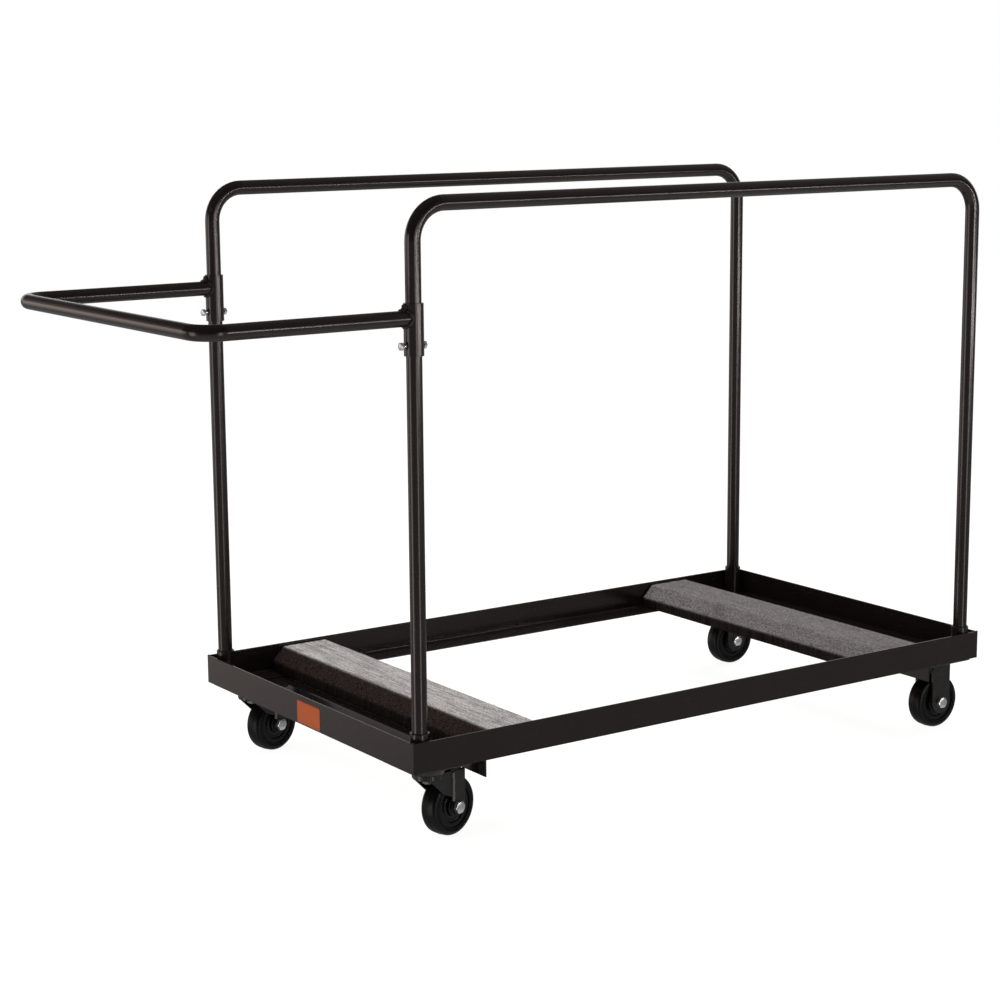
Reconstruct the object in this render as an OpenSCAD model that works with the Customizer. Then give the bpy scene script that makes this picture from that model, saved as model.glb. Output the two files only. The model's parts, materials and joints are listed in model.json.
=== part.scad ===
// Banquet table trolley: a welded angle-steel base on four casters, two tube hoops that plug
// into corner sockets, a push handle and two carpet-covered deck boards.
// Millimetres, +Z up, +X is the way the trolley is pushed. The handle end is the rear.

/* [Base frame] */
// Length of the base along the push direction
base_l = 1264; // [1000:2:1600]
// Width of the base
base_w = 704; // [560:2:900]
// Leg of the rails' steel angle
angle_leg = 50.8; // [44:0.2:60]
// Thickness of the rails' steel angle
angle_t = 3.2; // [2.4:0.1:4.8]
// Fillet in the root of the rails' angle
angle_root_r = 2.4; // [1:0.1:4]
// Rounding on the toes of the rails' angle
angle_toe_r = 1.2; // [0.4:0.1:2]
// Leg of the cross angles under the deck boards
cross_leg = 31.75; // [25:0.25:33]
// Thickness of the cross angles
cross_t = 3.2; // [2.4:0.1:4.8]
// Set-back of a cross angle's ends from the rails' outer faces
cross_setback = 10; // [4:1:40]

/* [Uprights] */
// Outside diameter of the hoop and handle tube
tube_od = 25.4; // [20:0.2:32]
// Wall of the hoop and handle tube
tube_wall = 1.6; // [1.2:0.1:3]
// Height of a hoop's top rail, at its centreline, above the base's underside
hoop_h = 899; // [700:1:1200]
// Bend radius of the hoops, at the centreline
hoop_bend_r = 57; // [45:1:120]
// Distance of the posts' axes from the ends of the base
post_inset = 26; // [24:0.5:40]
// Wall of the corner sockets
socket_wall = 2.8; // [2:0.1:4]
// Height of the corner sockets above the rails' flange
socket_h = 58; // [40:1:90]
// Radial room of a post in its socket
post_gap = 0.4; // [0.3:0.05:0.8]

/* [Handle] */
// Reach of the cross bar's centreline behind the rear posts
handle_reach = 365; // [250:1:500]
// Height of the handle's centreline above the base's underside
handle_h = 724; // [500:1:780]
// Bend radius of the handle, at the centreline
handle_bend_r = 38; // [34:1:100]
// Length of the sleeves that hold the handle to the posts
sleeve_l = 82; // [70:1:120]
// Height of a sleeve's top above the handle's centreline
sleeve_top = 23.5; // [20:0.5:40]
// Wall of the handle sleeves
sleeve_wall = 2.9; // [2:0.1:4]
// Radial room of a post in its handle sleeve
sleeve_gap = 0.3; // [0.2:0.05:0.6]
// Diameter of the handle bolts
bolt_d = 7.9; // [6:0.1:9]
// Height of the handle bolts above the sleeves' lower ends
bolt_rise = 16; // [12:0.5:24]
// Length of bolt shank that stands between a bolt's head and its sleeve
bolt_standoff = 5; // [0.5:0.5:10]
// Length of bolt thread beyond its nut
bolt_tail = 2; // [1:0.5:6]

/* [Deck boards] */
// Width of the wooden boards
board_w = 129; // [110:1:160]
// Thickness of the wooden boards
board_t = 38; // [30:0.5:46]
// Width and height of the bevel along both upper edges of a board
board_bevel = 21.5; // [12:0.5:28]
// Thickness of the carpet on the boards
carpet_t = 4.5; // [3:0.5:8]
// Distance of the rear board's middle from the rear end of the base
rear_board_inset = 200; // [190:1:300]
// Distance of the front board's middle from the front end of the base
front_board_inset = 188; // [186:1:300]
// Room between a board's ends and the rails' walls
board_end_gap = 4.5; // [4.2:0.1:8]
// Diameter of the deck screws
screw_d = 5; // [4:0.2:6]
// Length of the deck screws under the head
screw_l = 30; // [20:1:34]
// Distance between the two screws in each end of a board
screw_spread = 70; // [40:1:90]

/* [Casters] */
// Height of a caster from the floor to the base's underside
caster_h = 135.5; // [135:0.5:170]
// Length of a caster's top plate
plate_l = 106; // [100:0.5:112]
// Width of a caster's top plate
plate_w = 92; // [80:0.5:104]
// Thickness of a caster's top plate
plate_t = 5; // [4:0.1:6.4]
// Set-back of the top plates from the base's outer faces
plate_setback = 8; // [2:0.5:12]
// Diameter of the wheels
wheel_d = 101.6; // [90:0.2:101.8]
// Width of the wheels over the tyre
wheel_w = 34; // [26:0.5:36]
// Thickness of the tyre
tyre_t = 14; // [12:0.5:16]
// Length of the hubs
hub_w = 37; // [35:0.5:44]
// Diameter of the axle bolts
axle_d = 12.7; // [10:0.1:13]
// Distance of the wheel's axle behind the swivel's axis
trail = 47; // [40:1:50]
// Thickness of the forks' legs
fork_t = 4.5; // [3.5:0.1:5.5]
// Width of the rigid forks' legs
rigid_leg_w = 44; // [34:0.5:56]
// Half of the width of the swivel forks' legs
swivel_leg_r = 13.5; // [12:0.5:16]
// Distance of a swivel fork leg's middle behind its axle
leg_shift = 4; // [0:0.5:5]
// Angle that the swivel casters are turned to
rest_yaw = 15; // [0:1:30]

/* [Sticker] */
// Width of the sticker on the rear rail
sticker_w = 78; // [40:1:120]
// Height of the sticker
sticker_h = 40; // [20:0.5:42]
// Distance of the sticker's middle to the right of the trolley's middle
sticker_offset = 18.6; // [0:0.2:100]
// Height of the sticker's lower edge above the base's underside
sticker_rise = 1.6; // [1:0.2:6]

/* [Hidden] */
$fn = 96;
// Overrun that lets a cut pass through its faces
cut = 1;
// Room between a welded piece and the curved face that it meets
weld_gap = 0.2;
// Radial room of a turning piece on its pin or shaft
run_gap = 0.05;
// Radial room of a bolt in its hole
hole_gap = 0.3;
// Radial room of a screw in its pilot hole, and of a nut on its thread
thread_gap = 0.05;
// Room between the flat faces of pieces that turn against each other
side_gap = 0.5;
// Room between a cross angle and the caster plates
cross_gap = 0.5;
// Rounding of the caster plates' corners
plate_corner_r = 6;
// Thickness of the sticker
sticker_t = 0.4;

// Signs of the ends and the sides
rear = -1;
front = 1;
right = -1;
left = 1;

// Hex heads and nuts: width across flats and height, as shares of the thread's diameter
head_af_share = 1.5;
head_h_share = 0.63;
nut_h_share = 0.65;

// Swivel bearing
race_d = 46;
race_h = 14;
ball_d = 6.4;
ball_count = 14;
ball_ring_d = 34;
ball_gap = 0.1;
swivel_gap = 1;
crown_d = 50;
crown_t = 8;
kingpin_d = 12;
kingpin_head_d = 22;
kingpin_head_h = 2.4;
kingpin_nut_gap = 0.3;

// Skirts that join a swivel fork's crown to its legs
skirt_t = 3;
skirt_gap = 1;
skirt_lead = 16;
skirt_h = 8;
skirt_foot = 18;
skirt_knee = 15;
skirt_knee_rise = 28;
skirt_drop = 1;

// Bend at the top of a rigid fork's legs, and its drop below the top plate
fork_bend_r = 6;
bend_drop = 0.8;

// Wheel
shoulder_r = 10;
rim_t = 7.5;
rim_w = 28;
web_t = 9;
hub_d = 34;
bearing_wall = 3;
axle_sleeve_wall = 1.6;
axle_tail = 2;

// Deck screw heads
screw_head_d = 9.5;
screw_head_h = 3;

// Places, from the middle of the base and its underside
handle_out = base_l / 2 - post_inset + handle_reach + tube_od / 2;
base_x = (handle_out - base_l / 2) / 2;
tube_id = tube_od - 2 * tube_wall;
socket_id = tube_od + 2 * post_gap;
socket_od = socket_id + 2 * socket_wall;
sleeve_id = tube_od + 2 * sleeve_gap;
sleeve_od = sleeve_id + 2 * sleeve_wall;
post_x = base_l / 2 - post_inset;
post_y = base_w / 2 - angle_t - angle_root_r - socket_od / 2;
caster_x = base_l / 2 - plate_setback - plate_l / 2;
caster_y = base_w / 2 - plate_setback - plate_w / 2;
cross_edge = base_l / 2 - plate_setback - plate_l - cross_gap;
cross_l = base_w - 2 * cross_setback;
board_l = base_w - 2 * (angle_t + board_end_gap);
cover_bevel = board_bevel + carpet_t * (2 - sqrt(2));
screw_y = base_w / 2 - angle_leg / 2;
axle_z = wheel_d / 2 - caster_h;
fork_gap = hub_w + 2 * side_gap;
fork_w = fork_gap + 2 * fork_t;
skirt_w = wheel_w + 2 * (skirt_gap + skirt_t);
axle_sleeve_d = axle_d + 2 * (thread_gap + axle_sleeve_wall);
bearing_id = axle_sleeve_d + 2 * run_gap;
bearing_od = bearing_id + 2 * bearing_wall;
core_d = wheel_d - 2 * tyre_t;
race_z = -plate_t - race_h;
ball_z = race_z - swivel_gap / 2;
crown_z = race_z - swivel_gap;
sleeve_z = handle_h + sleeve_top - sleeve_l;
bolt_z = sleeve_z + bolt_rise;
bolt_nut_h = nut_h_share * bolt_d;
axle_nut_h = nut_h_share * axle_d;
kingpin_nut_h = nut_h_share * kingpin_d;

coat = "#2b2522";
dark_metal = "#232120";
zinc = "#b9bcc0";
rubber = "#141414";

// Frames of reference

// Moves to the middle of the base, at its underside
module on_base() {
    translate([base_x, 0, caster_h]) children();
}

// Moves to the middle of a caster's top plate, at its upper face
module at_caster(end, side) {
    on_base() translate([end * caster_x, side * caster_y, 0]) children();
}

// Moves to a caster and turns to the way that it points
module at_fork(end, side) {
    at_caster(end, side) rotate([0, 0, end == rear ? rest_yaw : 0]) children();
}

// Moves to the middle of a wheel, with the axle along Z
module at_wheel(end, side) {
    at_fork(end, side) translate([end == rear ? trail : 0, 0, axle_z]) rotate([90, 0, 0]) children();
}

// Moves to each deck screw's place, at the base's underside
module at_deck_screws() {
    for (end = [rear, front], side = [right, left], step = [-1, 1])
        on_base() translate([board_x(end) + step * screw_spread / 2, side * screw_y, 0]) children();
}

function board_x(end) = end * (base_l / 2 - (end == rear ? rear_board_inset : front_board_inset));

// Shared shapes

// Cuts one outer corner of an angle's toe to a radius
module toe_cut(r) {
    difference() {
        square(r + cut);
        circle(r);
    }
}

// Section of a rolled steel angle, with its outer corner at the origin
module angle_section(leg, t) {
    difference() {
        union() {
            square([leg, t]);
            square([t, leg]);
            translate([t, t]) difference() {
                square(angle_root_r);
                translate([angle_root_r, angle_root_r]) circle(angle_root_r);
            }
        }
        translate([leg - angle_toe_r, t - angle_toe_r]) toe_cut(angle_toe_r);
        translate([t - angle_toe_r, leg - angle_toe_r]) toe_cut(angle_toe_r);
    }
}

// Rail along X with its outer face on Y = 0 and both ends mitred
module mitred_rail(l) {
    intersection() {
        rotate([90, 0, 90]) linear_extrude(l, center = true) angle_section(angle_leg, angle_t);
        linear_extrude(angle_leg)
            polygon([[-l / 2, 0], [l / 2, 0], [l / 2 - angle_leg, angle_leg], [-l / 2 + angle_leg, angle_leg]]);
    }
}

// Round tube along +Z
module pipe(od, id, l) {
    difference() {
        cylinder(d = od, h = l);
        translate([0, 0, -cut]) cylinder(d = id, h = l + 2 * cut);
    }
}

// Quarter bend of the tube, from the X axis to the Y axis
module elbow(bend_r) {
    rotate_extrude(angle = 90) translate([bend_r, 0]) difference() {
        circle(d = tube_od);
        circle(d = tube_id);
    }
}

// Hexagonal nut or head along +Z, with its bore where it has one
module hex(af, h, bore_d = 0) {
    difference() {
        cylinder(d = af / cos(30), h = h, $fn = 6);
        if (bore_d > 0) translate([0, 0, -cut]) cylinder(d = bore_d, h = h + 2 * cut);
    }
}

// Plate with rounded corners, its upper face on Z = 0
module rounded_plate(l, w, t, r) {
    translate([0, 0, -t]) linear_extrude(t) {
        square([l - 2 * r, w], center = true);
        square([l, w - 2 * r], center = true);
        for (x = [-1, 1], y = [-1, 1]) translate([x * (l / 2 - r), y * (w / 2 - r)]) circle(r);
    }
}

// Upper outline of a board's section, from its left foot to its right foot
function board_outline(w, t, bevel) = [
    [-w / 2, 0], [-w / 2, t - bevel], [-w / 2 + bevel, t],
    [w / 2 - bevel, t], [w / 2, t - bevel], [w / 2, 0]
];

function reversed(list) = [for (i = [len(list) - 1:-1:0]) list[i]];

// Base frame

module side_rail(side) {
    color(coat) difference() {
        on_base() rotate([0, 0, side == left ? 180 : 0])
            translate([0, -base_w / 2, 0]) mitred_rail(base_l);
        at_deck_screws() translate([0, 0, -cut]) cylinder(d = screw_d + 2 * hole_gap, h = angle_t + 2 * cut);
    }
}

module end_rail(end) {
    color(coat) on_base() rotate([0, 0, end * 90]) translate([0, -base_l / 2, 0]) mitred_rail(base_w);
}

module cross_angle(end) {
    corner = end == rear ? cross_leg - cross_edge : cross_edge;
    color(coat) on_base() translate([corner, 0, 0]) mirror([1, 0, 0])
        rotate([-90, 0, 0]) linear_extrude(cross_l, center = true) angle_section(cross_leg, cross_t);
}

module post_socket(end, side) {
    color(coat) on_base() translate([end * post_x, side * post_y, angle_t]) pipe(socket_od, socket_id, socket_h);
}

module sticker() {
    color("#c8622d") on_base() translate([-base_l / 2 - sticker_t, -sticker_offset - sticker_w / 2, sticker_rise])
        cube([sticker_t, sticker_w, sticker_h]);
}

// Deck boards

module deck_board(end) {
    color("#8a6a48") difference() {
        on_base() translate([board_x(end), 0, angle_t]) rotate([90, 0, 0])
            linear_extrude(board_l, center = true) polygon(board_outline(board_w, board_t, board_bevel));
        at_deck_screws() cylinder(d = screw_d + 2 * thread_gap, h = screw_l + cut);
    }
}

module deck_carpet(end) {
    outer = board_outline(board_w + 2 * carpet_t, board_t + carpet_t, cover_bevel);
    inner = board_outline(board_w, board_t, board_bevel);
    color("#6d6865") on_base() translate([board_x(end), 0, angle_t]) rotate([90, 0, 0])
        linear_extrude(board_l, center = true) polygon(concat(outer, reversed(inner)));
}

module deck_screws() {
    color(zinc) at_deck_screws() {
        cylinder(d = screw_d, h = screw_l);
        translate([0, 0, -screw_head_h]) cylinder(d = screw_head_d, h = screw_head_h);
    }
}

// Uprights

module hoop(side) {
    color(coat) difference() {
        on_base() translate([0, side * post_y, 0]) {
            for (m = [0, 1]) mirror([m, 0, 0]) {
                translate([post_x, 0, angle_t]) pipe(tube_od, tube_id, hoop_h - hoop_bend_r - angle_t);
                translate([post_x - hoop_bend_r, 0, hoop_h - hoop_bend_r]) rotate([90, 0, 0]) elbow(hoop_bend_r);
            }
            translate([hoop_bend_r - post_x, 0, hoop_h]) rotate([0, 90, 0])
                pipe(tube_od, tube_id, 2 * (post_x - hoop_bend_r));
        }
        at_handle_bolt(side) cylinder(d = bolt_d + 2 * hole_gap, h = sleeve_od, center = true);
    }
}

// Moves to a handle bolt's crossing with its post, with +Z along the bolt to its head
module at_handle_bolt(side) {
    on_base() translate([-post_x, side * post_y, bolt_z]) rotate([0, -90, 0]) children();
}

module handle_bar() {
    bar_x = -post_x - handle_reach;
    color(coat) on_base() difference() {
        translate([0, 0, handle_h]) {
            for (m = [0, 1]) mirror([0, m, 0]) {
                translate([bar_x + handle_bend_r, post_y, 0]) rotate([0, 90, 0])
                    pipe(tube_od, tube_id, handle_reach - handle_bend_r);
                translate([bar_x + handle_bend_r, post_y - handle_bend_r, 0]) rotate([0, 0, 90]) elbow(handle_bend_r);
            }
            translate([bar_x, handle_bend_r - post_y, 0]) rotate([-90, 0, 0])
                pipe(tube_od, tube_id, 2 * (post_y - handle_bend_r));
        }
        for (side = [right, left]) translate([-post_x, side * post_y, sleeve_z])
            cylinder(d = sleeve_od + 2 * weld_gap, h = sleeve_l);
    }
}

module handle_sleeve(side) {
    color(coat) difference() {
        on_base() translate([-post_x, side * post_y, sleeve_z]) pipe(sleeve_od, sleeve_id, sleeve_l);
        at_handle_bolt(side) cylinder(d = bolt_d + 2 * hole_gap, h = sleeve_od + 2 * cut, center = true);
    }
}

module handle_bolts() {
    tail = sleeve_od / 2 + bolt_nut_h + bolt_tail;
    seat = sleeve_od / 2 + bolt_standoff;
    color(zinc) for (side = [right, left]) at_handle_bolt(side) {
        translate([0, 0, -tail]) cylinder(d = bolt_d, h = tail + seat);
        translate([0, 0, seat]) hex(head_af_share * bolt_d, head_h_share * bolt_d);
    }
}

module handle_nuts() {
    color(zinc) for (side = [right, left]) at_handle_bolt(side)
        translate([0, 0, -sleeve_od / 2 - bolt_nut_h]) hex(head_af_share * bolt_d, bolt_nut_h, bolt_d + 2 * thread_gap);
}

// Swivel casters

// Groove that the swivel's balls run in
module ball_groove() {
    translate([0, 0, ball_z]) rotate_extrude() translate([ball_ring_d / 2, 0]) circle(d = ball_d + 2 * ball_gap);
}

module swivel_plate(side) {
    color(dark_metal) at_caster(rear, side) difference() {
        union() {
            rounded_plate(plate_l, plate_w, plate_t, plate_corner_r);
            translate([0, 0, race_z]) cylinder(d = race_d, h = race_h);
        }
        translate([0, 0, race_z - cut]) cylinder(d = kingpin_d + 2 * thread_gap, h = race_h + plate_t + 2 * cut);
        translate([0, 0, -kingpin_head_h]) cylinder(d = kingpin_head_d + 2 * thread_gap, h = kingpin_head_h + cut);
        ball_groove();
    }
}

module kingpin(side) {
    foot = crown_z - crown_t - kingpin_nut_gap - kingpin_nut_h - axle_tail;
    color(zinc) at_caster(rear, side) {
        translate([0, 0, -kingpin_head_h]) cylinder(d = kingpin_head_d, h = kingpin_head_h);
        translate([0, 0, foot]) cylinder(d = kingpin_d, h = -foot);
    }
}

module kingpin_nut(side) {
    color(zinc) at_caster(rear, side) translate([0, 0, crown_z - crown_t - kingpin_nut_gap - kingpin_nut_h])
        hex(head_af_share * kingpin_d, kingpin_nut_h, kingpin_d + 2 * thread_gap);
}

module swivel_balls(side) {
    color(zinc) at_caster(rear, side) for (i = [0:ball_count - 1])
        rotate([0, 0, i * 360 / ball_count]) translate([ball_ring_d / 2, 0, ball_z]) sphere(d = ball_d);
}

// Outline of a swivel fork's skirt in the X-Z plane, from the crown down to its leg
module skirt_outline() {
    leg_lead = trail + leg_shift - swivel_leg_r;
    top = crown_z - skirt_drop;
    foot = axle_z + skirt_foot;
    polygon([
        [-skirt_lead, top], [trail + leg_shift, top], [trail + leg_shift, foot],
        [leg_lead, foot], [skirt_knee, axle_z + skirt_knee_rise], [-skirt_lead, crown_z - skirt_h]
    ]);
}

// Outline of a swivel fork's leg in the X-Z plane, rounded at its foot
module leg_outline() {
    translate([trail + leg_shift - swivel_leg_r, axle_z])
        square([2 * swivel_leg_r, crown_z - 2 * skirt_drop - axle_z]);
    translate([trail + leg_shift, axle_z]) circle(swivel_leg_r);
}

module swivel_fork(side) {
    color(dark_metal) at_fork(rear, side) difference() {
        union() {
            translate([0, 0, crown_z - crown_t]) cylinder(d = crown_d, h = crown_t);
            difference() {
                rotate([90, 0, 0]) linear_extrude(skirt_w, center = true) skirt_outline();
                translate([-crown_d, -skirt_w / 2 + skirt_t, axle_z])
                    cube([2 * (crown_d + trail), skirt_w - 2 * skirt_t, crown_z - crown_t - axle_z]);
            }
            for (y = [-fork_gap / 2, fork_w / 2]) translate([0, y, 0])
                rotate([90, 0, 0]) linear_extrude(fork_t) leg_outline();
        }
        ball_groove();
        translate([0, 0, crown_z - crown_t - cut]) cylinder(d = kingpin_d + 2 * run_gap, h = crown_t + 2 * cut);
        translate([trail, 0, axle_z]) rotate([90, 0, 0])
            cylinder(d = axle_d + 2 * hole_gap, h = fork_w + 2 * cut, center = true);
    }
}

// Rigid casters

// Section of a rigid fork across its legs, closed between them
module fork_section() {
    bend_z = -plate_t - bend_drop - fork_bend_r;
    translate([-fork_w / 2, axle_z - rigid_leg_w]) square([fork_w, bend_z - axle_z + rigid_leg_w]);
    translate([fork_bend_r - fork_w / 2, bend_z]) square([fork_w - 2 * fork_bend_r, -plate_t / 2 - bend_z]);
    for (y = [-1, 1]) translate([y * (fork_w / 2 - fork_bend_r), bend_z]) circle(fork_bend_r);
}

module rigid_fork(side) {
    color(dark_metal) at_fork(front, side) difference() {
        union() {
            rounded_plate(plate_l, plate_w, plate_t, plate_corner_r);
            intersection() {
                rotate([90, 0, 90]) linear_extrude(2 * rigid_leg_w, center = true) fork_section();
                rotate([90, 0, 0]) linear_extrude(2 * fork_w, center = true) {
                    translate([-rigid_leg_w / 2, axle_z]) square([rigid_leg_w, -axle_z]);
                    translate([0, axle_z]) circle(d = rigid_leg_w);
                }
            }
        }
        translate([-rigid_leg_w, -fork_gap / 2, axle_z - rigid_leg_w])
            cube([2 * rigid_leg_w, fork_gap, rigid_leg_w - axle_z - plate_t - fork_t]);
        translate([0, 0, axle_z]) rotate([90, 0, 0])
            cylinder(d = axle_d + 2 * hole_gap, h = fork_w + 2 * cut, center = true);
    }
}

// Axles and wheels

module axle_bolt(end, side) {
    color(zinc) at_wheel(end, side) {
        translate([0, 0, fork_w / 2]) hex(head_af_share * axle_d, head_h_share * axle_d);
        translate([0, 0, -fork_w / 2 - axle_nut_h - axle_tail]) cylinder(d = axle_d, h = fork_w + axle_nut_h + axle_tail);
    }
}

module axle_nut(end, side) {
    color(zinc) at_wheel(end, side) translate([0, 0, -fork_w / 2 - axle_nut_h])
        hex(head_af_share * axle_d, axle_nut_h, axle_d + 2 * thread_gap);
}

module axle_sleeve(end, side) {
    color(zinc) at_wheel(end, side) translate([0, 0, -fork_gap / 2])
        pipe(axle_sleeve_d, axle_d + 2 * thread_gap, fork_gap);
}

module tyre(end, side) {
    color(rubber) at_wheel(end, side) rotate_extrude() difference() {
        union() {
            translate([core_d / 2, -wheel_w / 2]) square([tyre_t - shoulder_r + cut, wheel_w]);
            translate([core_d / 2, shoulder_r - wheel_w / 2]) square([tyre_t, wheel_w - 2 * shoulder_r]);
            for (y = [-1, 1]) translate([wheel_d / 2 - shoulder_r, y * (wheel_w / 2 - shoulder_r)]) circle(shoulder_r);
        }
        translate([core_d / 2 - wheel_d, -wheel_w]) square([wheel_d, 2 * wheel_w]);
    }
}

module wheel_core(end, side) {
    color(rubber) at_wheel(end, side) rotate_extrude() {
        translate([core_d / 2 - rim_t, -rim_w / 2]) square([rim_t, rim_w]);
        translate([hub_d / 2 - cut, -web_t / 2]) square([core_d / 2 - hub_d / 2 - rim_t + 2 * cut, web_t]);
        translate([bearing_od / 2, -hub_w / 2]) square([(hub_d - bearing_od) / 2, hub_w]);
    }
}

module hub_bearing(end, side) {
    color(zinc) at_wheel(end, side) translate([0, 0, -hub_w / 2]) pipe(bearing_od, bearing_id, hub_w);
}

side_rail(left);  // side_rail_left
side_rail(right);  // side_rail_right
end_rail(rear);  // end_rail_rear
end_rail(front);  // end_rail_front
cross_angle(rear);  // cross_angle_rear
cross_angle(front);  // cross_angle_front
post_socket(rear, left);  // post_socket_rear_left
post_socket(rear, right);  // post_socket_rear_right
post_socket(front, left);  // post_socket_front_left
post_socket(front, right);  // post_socket_front_right
deck_board(rear);  // deck_board_rear
deck_board(front);  // deck_board_front
deck_carpet(rear);  // deck_carpet_rear
deck_carpet(front);  // deck_carpet_front
deck_screws();
sticker();
hoop(left);  // hoop_left
hoop(right);  // hoop_right
handle_bar();
handle_sleeve(left);  // handle_sleeve_left
handle_sleeve(right);  // handle_sleeve_right
handle_bolts();
handle_nuts();
swivel_plate(left);  // swivel_plate_left
swivel_plate(right);  // swivel_plate_right
kingpin(left);  // kingpin_left
kingpin(right);  // kingpin_right
kingpin_nut(left);  // kingpin_nut_left
kingpin_nut(right);  // kingpin_nut_right
swivel_balls(left);  // swivel_balls_left
swivel_balls(right);  // swivel_balls_right
swivel_fork(left);  // swivel_fork_left
swivel_fork(right);  // swivel_fork_right
rigid_fork(left);  // rigid_fork_left
rigid_fork(right);  // rigid_fork_right
axle_bolt(rear, left);  // axle_bolt_rear_left
axle_bolt(rear, right);  // axle_bolt_rear_right
axle_bolt(front, left);  // axle_bolt_front_left
axle_bolt(front, right);  // axle_bolt_front_right
axle_nut(rear, left);  // axle_nut_rear_left
axle_nut(rear, right);  // axle_nut_rear_right
axle_nut(front, left);  // axle_nut_front_left
axle_nut(front, right);  // axle_nut_front_right
axle_sleeve(rear, left);  // axle_sleeve_rear_left
axle_sleeve(rear, right);  // axle_sleeve_rear_right
axle_sleeve(front, left);  // axle_sleeve_front_left
axle_sleeve(front, right);  // axle_sleeve_front_right
tyre(rear, left);  // tyre_rear_left
tyre(rear, right);  // tyre_rear_right
tyre(front, left);  // tyre_front_left
tyre(front, right);  // tyre_front_right
wheel_core(rear, left);  // wheel_core_rear_left
wheel_core(rear, right);  // wheel_core_rear_right
wheel_core(front, left);  // wheel_core_front_left
wheel_core(front, right);  // wheel_core_front_right
hub_bearing(rear, left);  // hub_bearing_rear_left
hub_bearing(rear, right);  // hub_bearing_rear_right
hub_bearing(front, left);  // hub_bearing_front_left
hub_bearing(front, right);  // hub_bearing_front_right
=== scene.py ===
# %% [markdown]
# # A banquet table trolley
#
# The trolley is a low steel frame on four casters. Two tube hoops plug into its corners, a push
# handle is bolted to the rear posts, and two boards covered with grey carpet carry the tables.
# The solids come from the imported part, which stays fixed. This lesson gives them their finishes,
# and adds what a solid model leaves out: carpet, weld beads, moulded wheels and machined bolts.

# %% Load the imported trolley
import json
import math

import bmesh
import bpy
import numpy as np
from mathutils import Matrix, Vector, noise

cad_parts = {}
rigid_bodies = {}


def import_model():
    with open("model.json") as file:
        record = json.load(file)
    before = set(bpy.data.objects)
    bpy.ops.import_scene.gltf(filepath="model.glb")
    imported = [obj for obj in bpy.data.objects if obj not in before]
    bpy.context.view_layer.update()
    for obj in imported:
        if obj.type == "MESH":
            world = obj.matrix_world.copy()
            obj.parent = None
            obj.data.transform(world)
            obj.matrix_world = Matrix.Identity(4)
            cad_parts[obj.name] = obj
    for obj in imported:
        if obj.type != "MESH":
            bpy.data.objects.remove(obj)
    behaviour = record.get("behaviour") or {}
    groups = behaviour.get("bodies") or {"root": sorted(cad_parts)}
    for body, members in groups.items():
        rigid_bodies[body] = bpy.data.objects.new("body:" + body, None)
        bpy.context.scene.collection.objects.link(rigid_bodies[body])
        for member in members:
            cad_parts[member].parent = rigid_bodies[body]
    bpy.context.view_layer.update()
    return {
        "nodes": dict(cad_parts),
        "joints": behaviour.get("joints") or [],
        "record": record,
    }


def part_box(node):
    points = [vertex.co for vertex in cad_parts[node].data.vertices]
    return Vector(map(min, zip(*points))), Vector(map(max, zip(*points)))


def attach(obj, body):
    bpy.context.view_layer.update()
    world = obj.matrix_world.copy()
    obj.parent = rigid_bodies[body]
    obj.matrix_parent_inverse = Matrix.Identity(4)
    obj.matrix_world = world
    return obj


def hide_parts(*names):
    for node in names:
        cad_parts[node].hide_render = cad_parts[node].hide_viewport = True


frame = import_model()
nodes = frame["nodes"]
joints = {joint["name"]: joint for joint in frame["joints"]}

# %% [markdown]
# ## Colours and nodes
#
# Colours are easiest to judge as the hex values of a paint chart, which are sRGB. Blender's sockets
# hold linear light, so one function converts them. Another adds a node, sets it up and links it,
# which keeps each material below to a few readable lines. A mix node's inputs go by number: 0 is the
# share, 2 and 3 are two plain numbers, 6 and 7 are two colours, and a mixed colour comes out at 2.

# %% Two helpers for materials
MM = 0.001


def linear(hex_colour):
    """An sRGB hex colour as the linear RGBA that a socket holds."""
    shares = [int(hex_colour[i:i + 2], 16) / 255 for i in (1, 3, 5)]
    return (*[s / 12.92 if s <= 0.04045 else ((s + 0.055) / 1.055) ** 2.4 for s in shares], 1.0)


def add(tree, kind, links=None, **settings):
    """Adds a node with its settings, and fills its inputs from values or from other sockets."""
    node = tree.nodes.new(kind)
    for name, value in settings.items():
        setattr(node, name, value)
    for key, value in (links or {}).items():
        if isinstance(value, bpy.types.NodeSocket):
            tree.links.new(value, node.inputs[key])
        else:
            node.inputs[key].default_value = value
    return node


def new_material(name):
    """An empty node material and its tree."""
    material = bpy.data.materials.new(name)
    material.use_nodes = True
    material.node_tree.nodes.clear()
    return material, material.node_tree


print("white is", linear("#ffffff"))

# %% [markdown]
# ## The camera
#
# The photograph's straight rails and posts fix its camera: a long lens, a little above the hoops,
# looking at the corner of the handle end. The place and the turn come from that fit.

# %% Camera
camera_data = bpy.data.cameras.new("photo_camera")
camera_data.sensor_width = 36
camera_data.lens = 81.62
camera_data.clip_end = 60
camera = bpy.data.objects.new("photo_camera", camera_data)
camera.location = (-2.2959, -3.2808, 1.2221)
camera.rotation_euler = [math.radians(a) for a in (79.461, 0.440, -34.542)]
bpy.context.scene.collection.objects.link(camera)
bpy.context.scene.camera = camera
bpy.context.scene.view_settings.view_transform = "Standard"
print("camera at", tuple(camera.location), "lens", camera_data.lens)

# %% [markdown]
# ## Floor
#
# The photograph was taken on a white paper sweep. The floor is white to the camera and keeps a faint
# shadow. Reflections don't see it: what the dark gloss mirrors below the horizon is part of the studio.

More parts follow.
